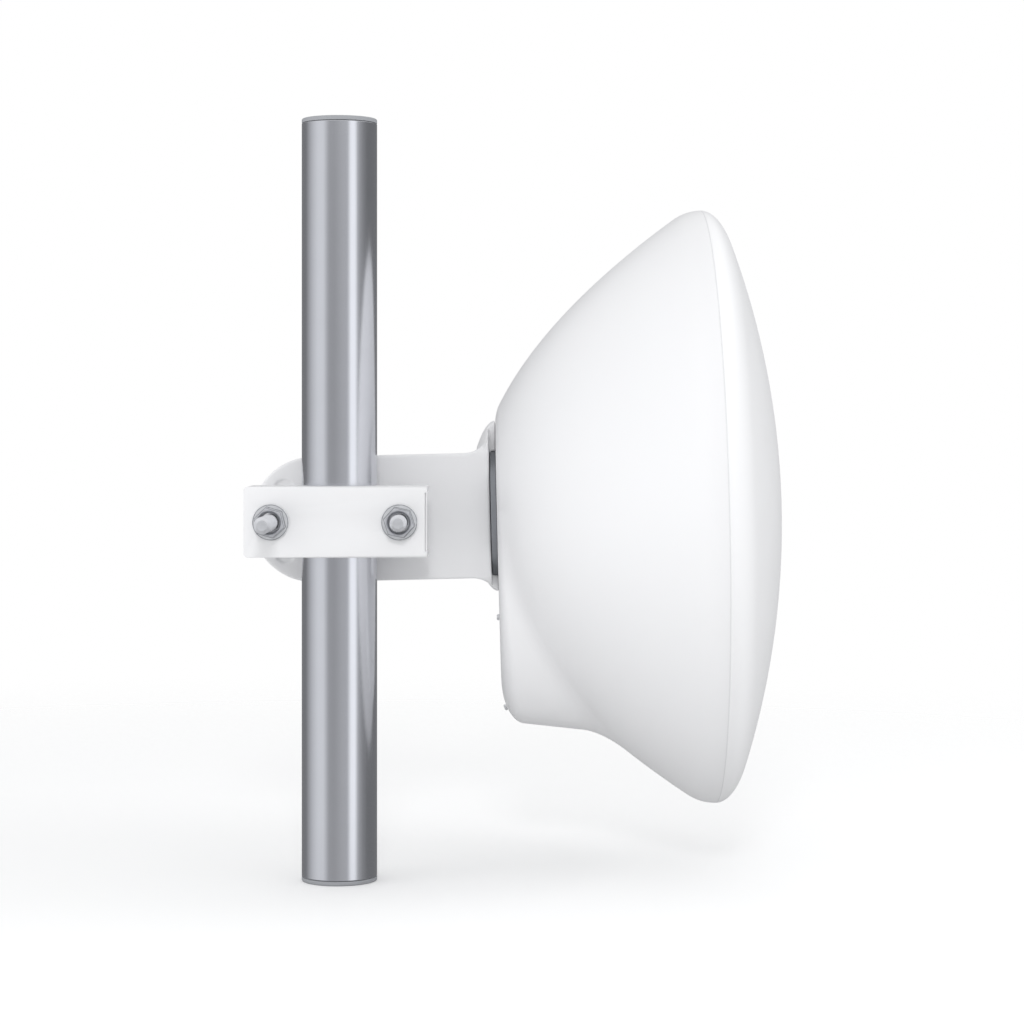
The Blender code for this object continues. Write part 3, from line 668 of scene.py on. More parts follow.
def skin_material(name, colour, roughness, grain, depth, drift=0.02, specular=0.5, coat=0.0):
    """Moulded plastic, powder coat or rubber: grain, faint tone drift and uneven gloss."""
    material, tree, shader, mapping = start_material(name)
    place = mapping.outputs["Vector"]
    tone = place_group(tree, "tone_drift", place, Colour=(*colour, 1.0), Amount=drift, Scale=14.0)
    skin = place_group(tree, "skin_grain", place, Scale=grain, Roughness=roughness, Spread=0.08)
    tree.links.new(tone.outputs["Colour"], shader.inputs["Base Color"])
    tree.links.new(skin.outputs["Roughness"], shader.inputs["Roughness"])
    shader.inputs["Specular IOR Level"].default_value = specular
    shader.inputs["Coat Weight"].default_value = coat
    add_bump(tree, shader, skin.outputs["Height"], 0.35, depth)
    return material


def line_mask(tree, distance, place, half_width):
    """Soft line where a distance passes a place: full at the place, none beyond the half width."""
    away = add_math(tree, "ABSOLUTE", add_math(tree, "SUBTRACT", distance, float(place)))
    line = tree.nodes.new("ShaderNodeMapRange")
    line.interpolation_type = "SMOOTHSTEP"
    line.inputs["From Min"].default_value = 0.4 * half_width
    line.inputs["From Max"].default_value = half_width
    line.inputs["To Min"].default_value = 1.0
    line.inputs["To Max"].default_value = 0.0
    tree.links.new(away, line.inputs["Value"])
    return line.outputs["Result"]


def flat_mask(tree):
    """Mask of the faces that are square to the bolts, from the normal in object coordinates."""
    coordinates = tree.nodes.new("ShaderNodeTexCoord")
    split = tree.nodes.new("ShaderNodeSeparateXYZ")
    tree.links.new(coordinates.outputs["Normal"], split.inputs["Vector"])
    square = tree.nodes.new("ShaderNodeMapRange")
    square.inputs["From Min"].default_value = 0.55
    square.inputs["From Max"].default_value = 0.90
    tree.links.new(add_math(tree, "ABSOLUTE", split.outputs["Y"]), square.inputs["Value"])
    return square.outputs["Result"]


def plated_material(name, colour, roughness, centre, spun):
    """Zinc-plated steel: turning marks round the bolt's axis, and painted shade along the nut's and washer's
    edges, dark lines in place of contact shadow.
    """
    bolts = bpy.context.scene.dish_bolts
    material, tree, shader, mapping = start_material(name, metallic=0.60)
    place = mapping.outputs["Vector"]
    centred = tree.nodes.new("ShaderNodeMapping")
    centred.inputs["Location"].default_value = (-centre[0], -centre[2], 0.0)
    centred.inputs["Rotation"].default_value = (math.radians(-90.0), 0.0, 0.0)
    tree.links.new(place, centred.inputs["Vector"])
    turned = tree.nodes.new("ShaderNodeMapping")
    turned.inputs["Rotation"].default_value = (0.0, 0.0, spun)
    tree.links.new(centred.outputs["Vector"], turned.inputs["Vector"])
    outlines = place_group(tree, "axis_outlines", turned.outputs["Vector"])
    rim_place = bolts.washer / 2 - WASHER_LINE_INSET
    # Painted shade: dark lines along the nut's hexagon and round the washer's rim stand in for contact
    # shadow. They are kept to faces square to the bolt, and a noise varies their strength.
    sides = line_mask(tree, outlines.outputs["Hexagon"], bolts.flats / 2, NUT_LINE)
    rim = line_mask(tree, outlines.outputs["Circle"], rim_place, WASHER_LINE)
    lines = add_math(tree, "MAXIMUM", sides, rim)
    uneven = add_noise(tree, place, 700.0, 3.0)
    strength = add_math(tree, "MULTIPLY_ADD", uneven, SHADE_LINE_SPREAD, SHADE_LINE_LEAST)
    painted_shade = add_math(tree, "MULTIPLY", lines, strength)
    painted_shade = add_math(tree, "MULTIPLY", painted_shade, flat_mask(tree))
    tone = place_group(tree, "tone_drift", place, Colour=(*colour, 1.0), Amount=0.30, Scale=260.0)
    shade_mix = tree.nodes.new("ShaderNodeMix")
    shade_mix.data_type = "RGBA"
    tree.links.new(painted_shade, shade_mix.inputs["Factor"])
    tree.links.new(tone.outputs["Colour"], shade_mix.inputs["A"])
    shade_mix.inputs["B"].default_value = SHADE_LINE_COLOUR
    tree.links.new(shade_mix.outputs["Result"], shader.inputs["Base Color"])
    skin = place_group(tree, "skin_grain", place, Scale=1600.0, Roughness=roughness, Spread=0.35)
    tree.links.new(skin.outputs["Roughness"], shader.inputs["Roughness"])
    rings = place_group(tree, "turning_rings", centred.outputs["Vector"], Scale=2600.0)
    height = add_math(tree, "MULTIPLY_ADD", skin.outputs["Height"], 0.4, rings.outputs["Height"])
    add_bump(tree, shader, height, 0.25, 0.00008)
    return material


def tube_material(name, colour, roughness):
    """Drawn steel tube: long fine streaks, and a faint mottle."""
    material, tree, shader, mapping = start_material(name, metallic=1.0)
    place = mapping.outputs["Vector"]
    tone = place_group(tree, "tone_drift", place, Colour=(*colour, 1.0), Amount=0.05, Scale=45.0)
    tree.links.new(tone.outputs["Colour"], shader.inputs["Base Color"])
    streaks = place_group(tree, "drawn_streaks", place, Scale=1500.0, Stretch=0.004)
    centred = add_math(tree, "SUBTRACT", streaks.outputs["Height"], 0.5)
    rough = add_math(tree, "MULTIPLY_ADD", centred, 0.12, roughness)
    tree.links.new(rough, shader.inputs["Roughness"])
    add_bump(tree, shader, streaks.outputs["Height"], 0.12, 0.00006)
    return material


def finish(name):
    """A finish by its name, made once."""
    found = bpy.data.materials.get(name)
    if found:
        return found
    looks = bpy.context.scene.dish_finishes
    clamp = bpy.context.scene.dish_clamp
    bolts = bpy.context.scene.dish_bolts
    right = (clamp.spacing / 2, 0.0, clamp.level)
    left = (-clamp.spacing / 2, 0.0, clamp.level)
    spins = (bolts.pivot_turn, bolts.slot_turn)
    makers = {
        "shell_plastic": lambda: skin_material(name, looks.shell, looks.shell_gloss, 1500.0, 0.00004),
        "radome_plastic": lambda: skin_material(name, looks.radome, looks.radome_gloss, 1700.0, 0.00003),
        "powder_coat": lambda: skin_material(name, looks.paint, looks.paint_gloss, 1100.0, 0.00010, 0.03),
        "pad_rubber_painted_shade": lambda: skin_material(name, looks.rubber, 0.75, 2200.0, 0.00008, 0.2, 0.3),
        "gasket_rubber": lambda: skin_material(name, looks.gasket, 0.70, 2200.0, 0.00006, 0.1, 0.3),
        "plug_plastic": lambda: skin_material(name, looks.plug, 0.55, 1300.0, 0.00010, 0.06),
        "plated_pivot": lambda: plated_material(name, looks.steel, looks.steel_gloss, right, spins[0]),
        "plated_slot": lambda: plated_material(name, looks.steel, looks.steel_gloss, left, spins[1]),
        "pivot_bolt_plate": lambda: plated_material(name, looks.bolt, looks.steel_gloss, right, spins[0]),
        "slot_bolt_plate": lambda: plated_material(name, looks.bolt, looks.steel_gloss, left, spins[1]),
        "pivot_nut_plate": lambda: plated_material(name, looks.nut, looks.steel_gloss, right, spins[0]),
        "slot_nut_plate": lambda: plated_material(name, looks.nut, looks.steel_gloss, left, spins[1]),
        "plated_screws": lambda: plated_material(name, looks.steel, looks.steel_gloss, FAR_CENTRE, 0.0),
        "drawn_steel": lambda: tube_material(name, looks.tube, looks.tube_gloss),
    }
    return makers[name]()


def rounded_profile(radius, low, high, edge, inner=None, steps=4):
    """Section of a turned ring or disc with rounded outer edges, from the top middle to the foot."""
    profile = [] if inner is not None else [(0.0, high)]
    if inner is not None:
        profile += arc((inner + edge, high - edge), edge, 180, 90, steps)
    profile += arc((radius - edge, high - edge), edge, 90, 0, steps)
    profile += arc((radius - edge, low + edge), edge, 0, -90, steps)
    if inner is not None:
        profile += arc((inner + edge, low + edge), edge, -90, -180, steps)
    else:
        profile.append((0.0, low))
    return profile


class DISH_OT_pole(bpy.types.Operator):
    """Model the steel pole and the plastic plugs in its ends"""

    bl_idname = "dish.pole"
    bl_label = "Pole and Plugs"

    def execute(self, context):
        pole = context.scene.dish_pole
        base = Matrix.Identity(4)
        radius = pole.diameter / 2
        inner = radius - pole.wall
        low = pole.flange + pole.gap
        high = pole.height - low
        deburred = 0.0005
        section = rounded_profile(radius, low, high, deburred, inner)
        tube = lathe("pole_steel_tube", section, 160, closed=True)
        settle(tube, base)
        dress(tube, finish("drawn_steel"), "pole", "pole", "pole_tube")

        plug = lathe("pole_top_cap", self.plug_profile(pole, radius, inner), 128)
        foot = copy_piece(plug, "pole_foot_cap")
        settle(plug, Matrix.Translation((0.0, 0.0, pole.height)))
        settle(foot, base, rotation=(math.pi, 0.0, 0.0))
        dress(plug, finish("plug_plastic"), "pole", "plug", "pole_top_plug")
        dress(foot, finish("plug_plastic"), "pole", "plug", "pole_foot_plug")
        return {"FINISHED"}

    def plug_profile(self, pole, radius, inner):
        """Flat cap with a rounded edge, a shallow ring in its face, and a spigot with a lead-in."""
        spigot = inner - pole.gap
        hollow = spigot - pole.plug_wall
        lip = -pole.flange
        end = lip - pole.plug_depth
        ring = 0.62 * radius
        groove = 0.0004
        rim = 0.0010
        foot = 0.0004
        lead = 0.0015
        lead_in = 0.0007
        profile = [(0.0, 0.0), (ring - 2 * groove, 0.0), (ring - groove, -groove), (ring, -groove)]
        profile += [(ring + groove, 0.0)]
        profile += arc((radius - rim, -rim), rim, 90, 0, 5)
        profile += arc((radius - foot, lip + foot), foot, 0, -90, 3)
        profile += [(spigot, lip), (spigot, end + lead), (spigot - lead_in, end), (hollow, end)]
        profile += [(hollow, lip), (0.0, lip)]
        return profile


class DISH_OT_clamp(bpy.types.Operator):
    """Model the pressed channel that clamps on the near side of the pole"""

    bl_idname = "dish.clamp"
    bl_label = "Clamp Channel"

    def execute(self, context):
        clamp = context.scene.dish_clamp
        pole = context.scene.dish_pole
        bolts = context.scene.dish_bolts
        half = clamp.width / 2
        rise = clamp.height / 2
        middle = clamp.front + clamp.depth / 2
        channel = add_cube("clamp_bracket", (clamp.width, clamp.depth, clamp.height), (0.0, middle, 0.0))
        mesh = channel.data
        shape = edit(channel)

        def end_corner(part):
            first, second = part.verts[0].co, part.verts[1].co
            along_y = abs(first.y - second.y) > clamp.depth / 2
            return along_y and first.x + second.x < 0.0

        pick(shape, mesh, "EDGE", end_corner)
        bpy.ops.mesh.bevel(offset=clamp.corner, segments=8, affect="EDGES")
        shape = bmesh.from_edit_mesh(mesh)

        def bend_edge(part):
            first, second = part.verts[0].co, part.verts[1].co
            level = abs(first.z - second.z) < 1e-6 and abs(abs(first.z) - rise) < 1e-6
            front = abs(first.y - clamp.front) < 1e-6 and abs(second.y - clamp.front) < 1e-6
            return level and front and abs(first.x - second.x) > half

        pick(shape, mesh, "EDGE", bend_edge)
        bpy.ops.mesh.bevel(offset=clamp.bend, segments=6, affect="EDGES")
        leave_edit()

        hollow = (2 * clamp.width, clamp.depth, clamp.height - 2 * clamp.sheet)
        inside = add_cube("inside", hollow, (0.0, middle + clamp.sheet, 0.0))
        inner_bend = 0.0012
        soften(inside, inner_bend, 4)
        combine(channel, inside)
        combine(channel, add_cylinder("saddle", pole.diameter / 2 + pole.gap, 2 * clamp.height, 160))
        groove = (clamp.groove, clamp.sheet, clamp.height - 2 * clamp.sheet)
        groove_x = half - 1.4 * clamp.groove
        combine(channel, add_cube("groove", groove, (groove_x, clamp.front, 0.0)))
        hole_play = 0.0005
        for side in (-1, 1):
            hole = add_cylinder("hole", bolts.diameter / 2 + hole_play, 4 * clamp.sheet, 64)
            settle(hole, Matrix.Identity(4), (side * clamp.spacing / 2, clamp.front, 0.0), FACE_NEAR)
            combine(channel, hole)
        cut_edge = 0.0004
        soften(channel, cut_edge, 2, 40.0)
        settle(channel, clamp_frame(context.scene))
        dress(channel, finish("powder_coat"), "clamp", "paint", "clamp_channel")
        return {"FINISHED"}


class DISH_OT_fasteners(bpy.types.Operator):
    """Model the two threaded clamp bolts with their nuts and washers"""

    bl_idname = "dish.fasteners"
    bl_label = "Clamp Bolts, Nuts and Washers"

    def execute(self, context):
        scene = context.scene
        bolts = scene.dish_bolts
        clamp = scene.dish_clamp
        arm = scene.dish_arm
        gap = scene.dish_pole.gap
        base = clamp_frame(scene)
        seat = -clamp.front + gap
        far = -(scene.dish_pole.diameter / 2 + gap + arm.plate + gap + bolts.washer_thick)
        washer = self.washer(bolts, gap)
        nut = self.nut(bolts, gap)
        places = (
            ("pivot", 1, bolts.pivot_reach, bolts.pivot_turn),
            ("slot", -1, bolts.slot_reach, bolts.slot_turn),
        )
        for label, side, reach, spun in places:
            metal = finish("plated_" + label)
            x = side * clamp.spacing / 2
            near = copy_piece(washer, label + "_near_washer")
            settle(near, base, (x, -seat, 0.0), FACE_NEAR)
            dress(near, metal, "clamp", "fastener", label + "_washer_near")
            back = copy_piece(washer, label + "_far_washer")
            settle(back, base, (x, -far, 0.0), FACE_NEAR)
            dress(back, metal, "clamp", "fastener", label + "_washer_far")
            ring = copy_piece(nut, label + "_hex_nut")
            nut_seat = seat + gap + bolts.washer_thick
            settle(ring, base, (x, -nut_seat, 0.0), (math.radians(90.0), spun, 0.0))
            dress(ring, finish(label + "_nut_plate"), "clamp", "fastener", label + "_nut")
            top = seat + bolts.washer_thick + reach
            bolt = self.bolt(label + "_threaded_bolt", bolts, top, far - gap)
            settle(bolt, base, (x, 0.0, 0.0), FACE_NEAR)
            dress(bolt, finish(label + "_bolt_plate"), "clamp", "fastener", label + "_bolt")
        for piece in (washer, nut):
            bpy.data.objects.remove(piece, do_unlink=True)
        return {"FINISHED"}

    def washer(self, bolts, gap):
        """A washer standing on Z, with its edges rolled over as stamping leaves them."""
        rolled = 0.0005
        bore = bolts.diameter / 2 + gap
        profile = rounded_profile(bolts.washer / 2, 0.0, bolts.washer_thick, rolled, bore, 3)
        return lathe("washer", profile, 96, closed=True)

    def hex_block(self, bolts, height, low, name):
        """A hexagon with its corners turned off at both faces."""
        corner = bolts.flats / math.sqrt(3.0)
        block = add_cylinder(name, corner, height, 6, (0.0, 0.0, low + height / 2))
        cut = 0.0006
        inner = bolts.flats / 2
        high = low + height
        clear = corner + 0.0005
        shell = [(0.0, high), (inner, high), (corner, high - cut), (clear, high - 1.6 * cut)]
        shell += [(clear, low + 1.6 * cut), (corner, low + cut), (inner, low), (0.0, low)]
        combine(block, lathe("corners", shell, 96), "INTERSECT")
        return block

    def nut(self, bolts, gap):
        """A hexagon nut standing on Z, with a cone recess in its upper face."""
        nut = self.hex_block(bolts, bolts.nut, 0.0, "nut")
        bore = bolts.diameter / 2 + gap
        recess = bolts.recess / 2
        mouth = recess + 0.0005
        mouth_start = bolts.nut - 0.0003
        mouth_end = bolts.nut - 0.0008
        step = bolts.nut - bolts.recess_depth
        over = 2 * bolts.nut
        hole = [(0.0, over), (mouth, over), (mouth, mouth_start), (recess, mouth_end)]
        hole += [(bolts.recess_foot / 2, step), (bore, step), (bore, -over), (0.0, -over)]
        combine(nut, lathe("bore", hole, 96))
        worn_edge = 0.00018
        soften(nut, worn_edge, 2, 25.0)
        return nut

    def bolt(self, name, bolts, top, foot):
        """A bolt on Z: thread from its chamfered end down past the clamp, plain shank, hexagon head."""
        radius = bolts.diameter / 2
        crest = bolts.thread / 2
        depth = 0.50 * bolts.pitch
        core = crest - depth
        face = bolts.tip / 2
        start = top - bolts.tip_length
        turns = int((top + radius) / bolts.pitch)
        shoulder = top - turns * bolts.pitch
        over = 0.0010
        above = top + over
        shank = [(0.0, above), (core, above), (core, shoulder)]
        shank += [(radius, shoulder - depth), (radius, foot), (0.0, foot)]
        bolt = lathe(name, shank, 48)
        rooted = core - 0.0002
        thread = self.thread(crest, rooted, bolts.pitch, shoulder, turns + 1)
        combine(bolt, thread, "UNION")
        reach = radius + over
        clear = above + 5 * over
        tip = [(0.0, clear), (reach, clear), (reach, start), (crest + 0.0001, start)]
        tip += [(face, top), (0.0, top)]
        combine(bolt, lathe("tip", tip, 48))
        head = self.hex_block(bolts, bolts.head, foot - bolts.head, "head")
        combine(bolt, head, "UNION")
        return bolt

    def thread(self, radius, core, pitch, low, turns):
        """One helical ridge with a flat crest, wound by a Screw modifier and closed at its ends."""
        crest = pitch / 8
        foot = 0.44 * pitch
        ridge = [(core, 0.0, -foot), (radius, 0.0, -crest / 2), (radius, 0.0, crest / 2), (core, 0.0, foot)]
        ridge = [(x, y, z + low) for x, y, z in ridge]
        piece = draw_line("thread", ridge, closed=True)
        leave_edit()
        apply_modifier(
            piece, "SCREW", steps=32, render_steps=32, screw_offset=pitch, iterations=turns,
            use_merge_vertices=False, use_smooth_shade=False,
        )
        edit(piece)
        bpy.ops.mesh.select_mode(type="EDGE")
        bpy.ops.mesh.select_all(action="SELECT")
        bpy.ops.mesh.remove_doubles(threshold=0.000001)
        bpy.ops.mesh.fill_holes(sides=8)
        bpy.ops.mesh.select_all(action="SELECT")
        bpy.ops.mesh.normals_make_consistent(inside=False)
        leave_edit()
        return piece


class DISH_OT_arm(bpy.types.Operator):
    """Model the cast arm with its curved slot, neck, flares and round hub"""

    bl_idname = "dish.arm"
    bl_label = "Arm Casting"

    def execute(self, context):
        scene = context.scene
        arm = scene.dish_arm
        head = scene.dish_head
        gap = scene.dish_pole.gap
        near = scene.dish_pole.diameter / 2 + gap
        far = near + arm.plate
        size = (arm.front + arm.back, arm.plate, arm.height)
        middle = ((arm.front - arm.back) / 2, near + arm.plate / 2, arm.rise)
        casting = add_cube("arm_casting", size, middle)
        shape = edit(casting)

        def back_edge(part):
            first, second = part.verts[0].co, part.verts[1].co
            return abs(first.y - second.y) > arm.plate / 2 and (first.x + second.x) / 2 < 0.0

        pick(shape, casting.data, "EDGE", back_edge)
        bpy.ops.mesh.bevel(offset=arm.height / 2 - 0.00001, segments=48, affect="EDGES")
        leave_edit()
        spacing = scene.dish_clamp.spacing
        through = self.slot(arm.slot_width, arm.slot_angle, spacing, near - arm.plate, far + arm.plate)
        combine(casting, through)
        pivot = add_cylinder("pivot", scene.dish_bolts.diameter / 2 + gap, 4 * arm.plate, 64)
        settle(pivot, Matrix.Identity(4), (0.0, far, 0.0), FACE_NEAR)
        combine(casting, pivot)
        soften(casting, arm.edge, 3, 40.0)
        recess_end = near + arm.recess_depth
        recess = self.slot(arm.recess_width, arm.recess_angle, spacing, near - arm.plate, recess_end)
        combine(casting, recess)

        combine(casting, self.neck(arm, far), "UNION")
        for side in (1, -1):
            combine(casting, self.flare(arm, near, side), "UNION")
        combine(casting, self.hub(arm, head, near, gap), "UNION")
        voxel = 0.0008
        cast_skin(casting, voxel, 2)
        settle(casting, head_frame(scene))
        dress(casting, finish("powder_coat"), "head", "paint", "mount_arm", angle=60.0)
        return {"FINISHED"}

    def neck(self, arm, far):
        """Neck that sweeps from the plate's far face out to the hub, standing on Z."""
        inset = 0.0003
        end = arm.front - 2 * inset
        centre = (arm.neck_start, far + arm.neck_fillet)
        outline = [(arm.neck_start, far - arm.plate / 2)]
        outline += arc(centre, arm.neck_fillet, -90, 0, 32)
        outline += [(end, centre[1]), (end, far - arm.plate / 2)]
        low = arm.rise - arm.height / 2 + inset
        return fill_and_raise("neck", outline, arm.height - 2 * inset, low)

    def flare(self, arm, near, side):
        """Gusset between the plate's edge and the hub; its near face leans back."""
        half = arm.height / 2
        rise = (arm.flare_top if side > 0 else arm.flare_bottom) - half
        turned = math.degrees(math.acos(1.0 - rise / arm.flare))
        centre = (arm.front - arm.flare * math.sin(math.radians(turned)), half + arm.flare)
        root = half - 0.004
        outline = [(centre[0], root)] + arc(centre, arm.flare, -90, -90 + turned, 16) + [(arm.front, root)]
        depth = 2.2 * arm.plate
        gusset = fill_and_raise("flare", outline, depth, -near - depth)
        settle(gusset, Matrix.Identity(4), rotation=FACE_NEAR)
        edit(gusset)
        bpy.ops.mesh.select_all(action="SELECT")
        lean = Vector((0.0, -math.cos(arm.flare_lean), math.sin(arm.flare_lean)))
        bpy.ops.mesh.bisect(
            plane_co=(0.0, near, half), plane_no=lean, use_fill=True, clear_outer=True, clear_inner=False
        )
        leave_edit()
        if side < 0:
            select_only(gusset)
            bpy.ops.transform.mirror(
                orient_type="GLOBAL", constraint_axis=(False, False, True), center_override=ORIGIN
            )
            bpy.ops.object.transform_apply(location=True, rotation=True, scale=True)
            edit(gusset)
            bpy.ops.mesh.select_all(action="SELECT")
            bpy.ops.mesh.normals_make_consistent(inside=False)
            leave_edit()
        settle(gusset, Matrix.Translation((0.0, 0.0, arm.rise)))
        return gusset

    def hub(self, arm, head, near, gap):
        """Domed hub, cut flat at the near face, its ring cut further back."""
        height = head.seam + head.back - gap - arm.front
        profile = [(0.0, height)]
        steps = 24
        for i in range(steps + 1):
            depth = arm.hub_thick * i / steps
            profile.append((arm.hub_radius - depth * depth / arm.hub_curve, height - depth))
        profile.append((0.0, height - arm.hub_thick))
        hub = lathe("hub", profile, 192)
        settle(hub, Matrix.Identity(4), (arm.front, head.across, arm.hub_rise), FACE_FORWARD)
        size = 4 * arm.hub_radius
        block = (size, size, size)
        combine(hub, add_cube("near_cut", block, (arm.front, near + gap - size / 2, arm.hub_rise)))
        ring_y = near + arm.ring_cut - size / 2
        combine(hub, add_cube("ring_cut", block, (arm.front - gap + size / 2, ring_y, arm.hub_rise)))
        pocket = add_cylinder("pocket", arm.pad + gap, 2 * height, 160)
        settle(pocket, Matrix.Identity(4), (head.seam + head.back, head.across, arm.pad_rise), FACE_FORWARD)
        combine(hub, pocket)
        return hub

    def slot(self, width, angle, reach, start_y, end_y):
        """Curved slot about the pivot with round ends, as a block that cuts the plate."""
        half_angle = math.degrees(angle)
        half_width = width / 2
        outline = arc(ORIGIN, reach + half_width, 180 - half_angle, 180 + half_angle, 40)
        end = math.radians(180 + half_angle)
        centre = (reach * math.cos(end), reach * math.sin(end))
        outline += arc(centre, half_width, 180 + half_angle, 360 + half_angle, 20)[1:-1]
        outline += arc(ORIGIN, reach - half_width, 180 + half_angle, 180 - half_angle, 40)
        start = math.radians(180 - half_angle)
        centre = (reach * math.cos(start), reach * math.sin(start))
        outline += arc(centre, half_width, -half_angle, 180 - half_angle, 20)[1:-1]
        slot = fill_and_raise("slot", outline, end_y - start_y)
        settle(slot, Matrix.Identity(4), (0.0, end_y, 0.0), FACE_NEAR)
        return slot


class DISH_OT_hub_parts(bpy.types.Operator):
    """Model the sealing pad and the two screws that hold the hub to the shell"""

    bl_idname = "dish.hub_parts"
    bl_label = "Hub Pad and Screws"

    def execute(self, context):
        scene = context.scene
        arm = scene.dish_arm
        head = scene.dish_head
        gap = scene.dish_pole.gap
        base = head_frame(scene)
        face = head.seam + head.back - gap
        thick = face - arm.front - 2 * gap
        pad_edge = 0.0004
        # Partly painted shade: the pad's grey rubber gives the tone of the shade deep in the gap between the
        # arm and the shell.
        pad = lathe("hub_sealing_pad", rounded_profile(arm.pad, -thick, 0.0, pad_edge), 160)
        settle(pad, base, (face, head.across, arm.pad_rise), FACE_FORWARD)
        dress(pad, finish("pad_rubber_painted_shade"), "head", "rubber", "hub_pad")

        rolled = 0.0006
        socket_radius = 0.0029
        socket_edge = 0.00015
        section = rounded_profile(arm.screw_head / 2, 0.0, arm.screw_height, rolled)
        screw = lathe("socket_screw", section, 64)
        combine(screw, add_cylinder("socket", socket_radius, arm.screw_height, 6))
        soften(screw, socket_edge, 2, 40.0)
        crown = face - arm.hub_thick
        for label, side in (("top", 1), ("bottom", -1)):
            twin = copy_piece(screw, "hub_cap_screw_" + label)
            place = (crown - gap, head.across + arm.screw_across, arm.hub_rise + side * arm.screw_up)
            settle(twin, base, place, (0.0, math.radians(-90.0), 0.0))
            dress(twin, finish("plated_screws"), "head", "fastener", "hub_screw_" + label)
        bpy.data.objects.remove(screw, do_unlink=True)
        return {"FINISHED"}


def bowl_radius(head, u):
    """Radius of the bowl at a distance along the dish's axis: a parabola, rounded over at the rim."""
    if u <= head.rim:
        return math.sqrt(head.focus * (u - head.vertex))
    start = math.sqrt(head.focus * (head.rim - head.vertex))
    slope = head.focus / (2 * start) * -head.rim
    t = 1.0 - u / head.rim
    ease = t * t * (3.0 - 2.0 * t)
    return start + (head.radius - start) * ease + slope * t * (1.0 - t) ** 2


def housing_radius(head, housing, u, angle):
    """Distance from the dish's axis to the housing's wall; the angle is from straight down."""
    if math.cos(angle) <= 0.0:
        return 0.0
    widen = housing.draft * (u - head.back)
    across = abs(math.sin(angle)) / (housing.half_width + widen)
    down = math.cos(angle) / (housing.drop + widen)
    return (across**housing.square + down**housing.square) ** (-1.0 / housing.square)


def shell_radius(head, housing, u, angle):
    first = bowl_radius(head, u)
    second = housing_radius(head, housing, u, angle)
    overlap = max(housing.blend - abs(first - second), 0.0) / housing.blend
    return max(first, second) + overlap * overlap * housing.blend / 4.0


def back_corner(head, housing, angle):
    """Rounding at the back edge: small on the bowl, larger round the housing."""
    bowl = bowl_radius(head, head.back)
    reach = housing_radius(head, housing, head.back, angle) - bowl
    part = min(max(reach / (housing.drop - bowl), 0.0), 1.0)
    return housing.bowl_corner + (housing.corner - housing.bowl_corner) * part


class DISH_OT_shell(bpy.types.Operator):
    """Model the rear shell: bowl and radio housing in one moulding, with a pocket for the cover"""

    bl_idname = "dish.shell"
    bl_label = "Rear Shell"

    def execute(self, context):
        scene = context.scene
        head = scene.dish_head
        housing = scene.dish_housing
        deselect()
        bpy.ops.mesh.primitive_circle_add(
            vertices=scene.dish_stage.steps, radius=head.radius, rotation=FACE_FORWARD
        )
        shell = name_new("moulded_shell")
        bpy.ops.object.transform_apply(location=True, rotation=True, scale=True)
        bpy.ops.object.mode_set(mode="EDIT")
        bpy.ops.mesh.select_mode(type="VERT")
        bpy.ops.mesh.select_all(action="SELECT")
        self.shape_ring(shell, head, housing, ("edge", 0.0))
        for station in self.stations():
            bpy.ops.mesh.extrude_region_move()
            self.shape_ring(shell, head, housing, station)
        bpy.ops.mesh.edge_face_add()
        bpy.ops.mesh.select_all(action="SELECT")
        bpy.ops.mesh.normals_make_consistent(inside=False)
        leave_edit()
        apply_modifier(shell, "SOLIDIFY", thickness=head.wall, offset=-1.0, use_even_offset=True)
        self.cut_pocket(shell, scene)
        settle(shell, dish_frame(scene))
        dress(shell, finish("shell_plastic"), "head", "shell", "rear_shell", angle=40.0)
        return {"FINISHED"}

    def stations(self):
        """Rings from the seam's rounded edge, along the bowl, round the back corner."""
        edge, side, corner = 5, 60, 14
        rings = [("edge", i / edge) for i in range(1, edge + 1)]
        rings += [("side", 1.0 - i / side) for i in range(1, side + 1)]
        rings += [("corner", 1.0 - i / corner) for i in range(1, corner + 1)]
        return rings

    def shape_ring(self, shell, head, housing, station):
        """Move the selected ring to its station; a vertex keeps its angle about the dish's axis."""
        kind, step = station
        shape = bmesh.from_edit_mesh(shell.data)
        for vertex in shape.verts:
            if not vertex.select:
                continue
            angle = math.atan2(vertex.co.y, -vertex.co.z)
            vertex.co = self.ring_point(head, housing, kind, step, angle)
        bmesh.update_edit_mesh(shell.data)

    def ring_point(self, head, housing, kind, step, angle):
        corner = back_corner(head, housing, angle)
        first = head.back + corner
        last = -head.half_gap - head.edge
        inset = 0.0
        if kind == "edge":
            swing = math.pi / 2 * step
            u = -head.half_gap - head.edge * (1.0 - math.cos(swing))
            inset = head.edge * (1.0 - math.sin(swing))
        elif kind == "side":
            u = first + (last - first) * step
        else:
            swing = math.pi / 2 * step
            u = head.back + corner * (1.0 - math.cos(swing))
            inset = corner * housing.stretch * (1.0 - math.sin(swing))
        radius = shell_radius(head, housing, min(u, -head.half_gap), angle) - inset
        return Vector((u, radius * math.sin(angle), -radius * math.cos(angle)))

    def cut_pocket(self, shell, scene):
        head = scene.dish_head
        housing = scene.dish_housing
        gap = scene.dish_pole.gap
        height = housing.cover_top - housing.cover_bottom + 2 * gap
        depth = housing.cover_thick + gap
        block = cover_block("pocket", height, housing.cover_width + 2 * gap, 2 * depth, housing.cover_corner)
        middle = (housing.cover_top + housing.cover_bottom) / 2
        settle(block, Matrix.Identity(4), (head.back, 0.0, middle), FACE_FORWARD)
        combine(shell, block)


def cover_block(name, height, width, thick, corner):
    """A rounded plate about the origin: a cube with its four upright edges rounded."""
    block = add_cube(name, (height, width, thick))
    shape = edit(block)

    def upright(part):
        return abs(part.verts[0].co.z - part.verts[1].co.z) > thick / 2

    pick(shape, block.data, "EDGE", upright)
    bpy.ops.mesh.bevel(offset=corner, segments=12, affect="EDGES")
    leave_edit()
    return block


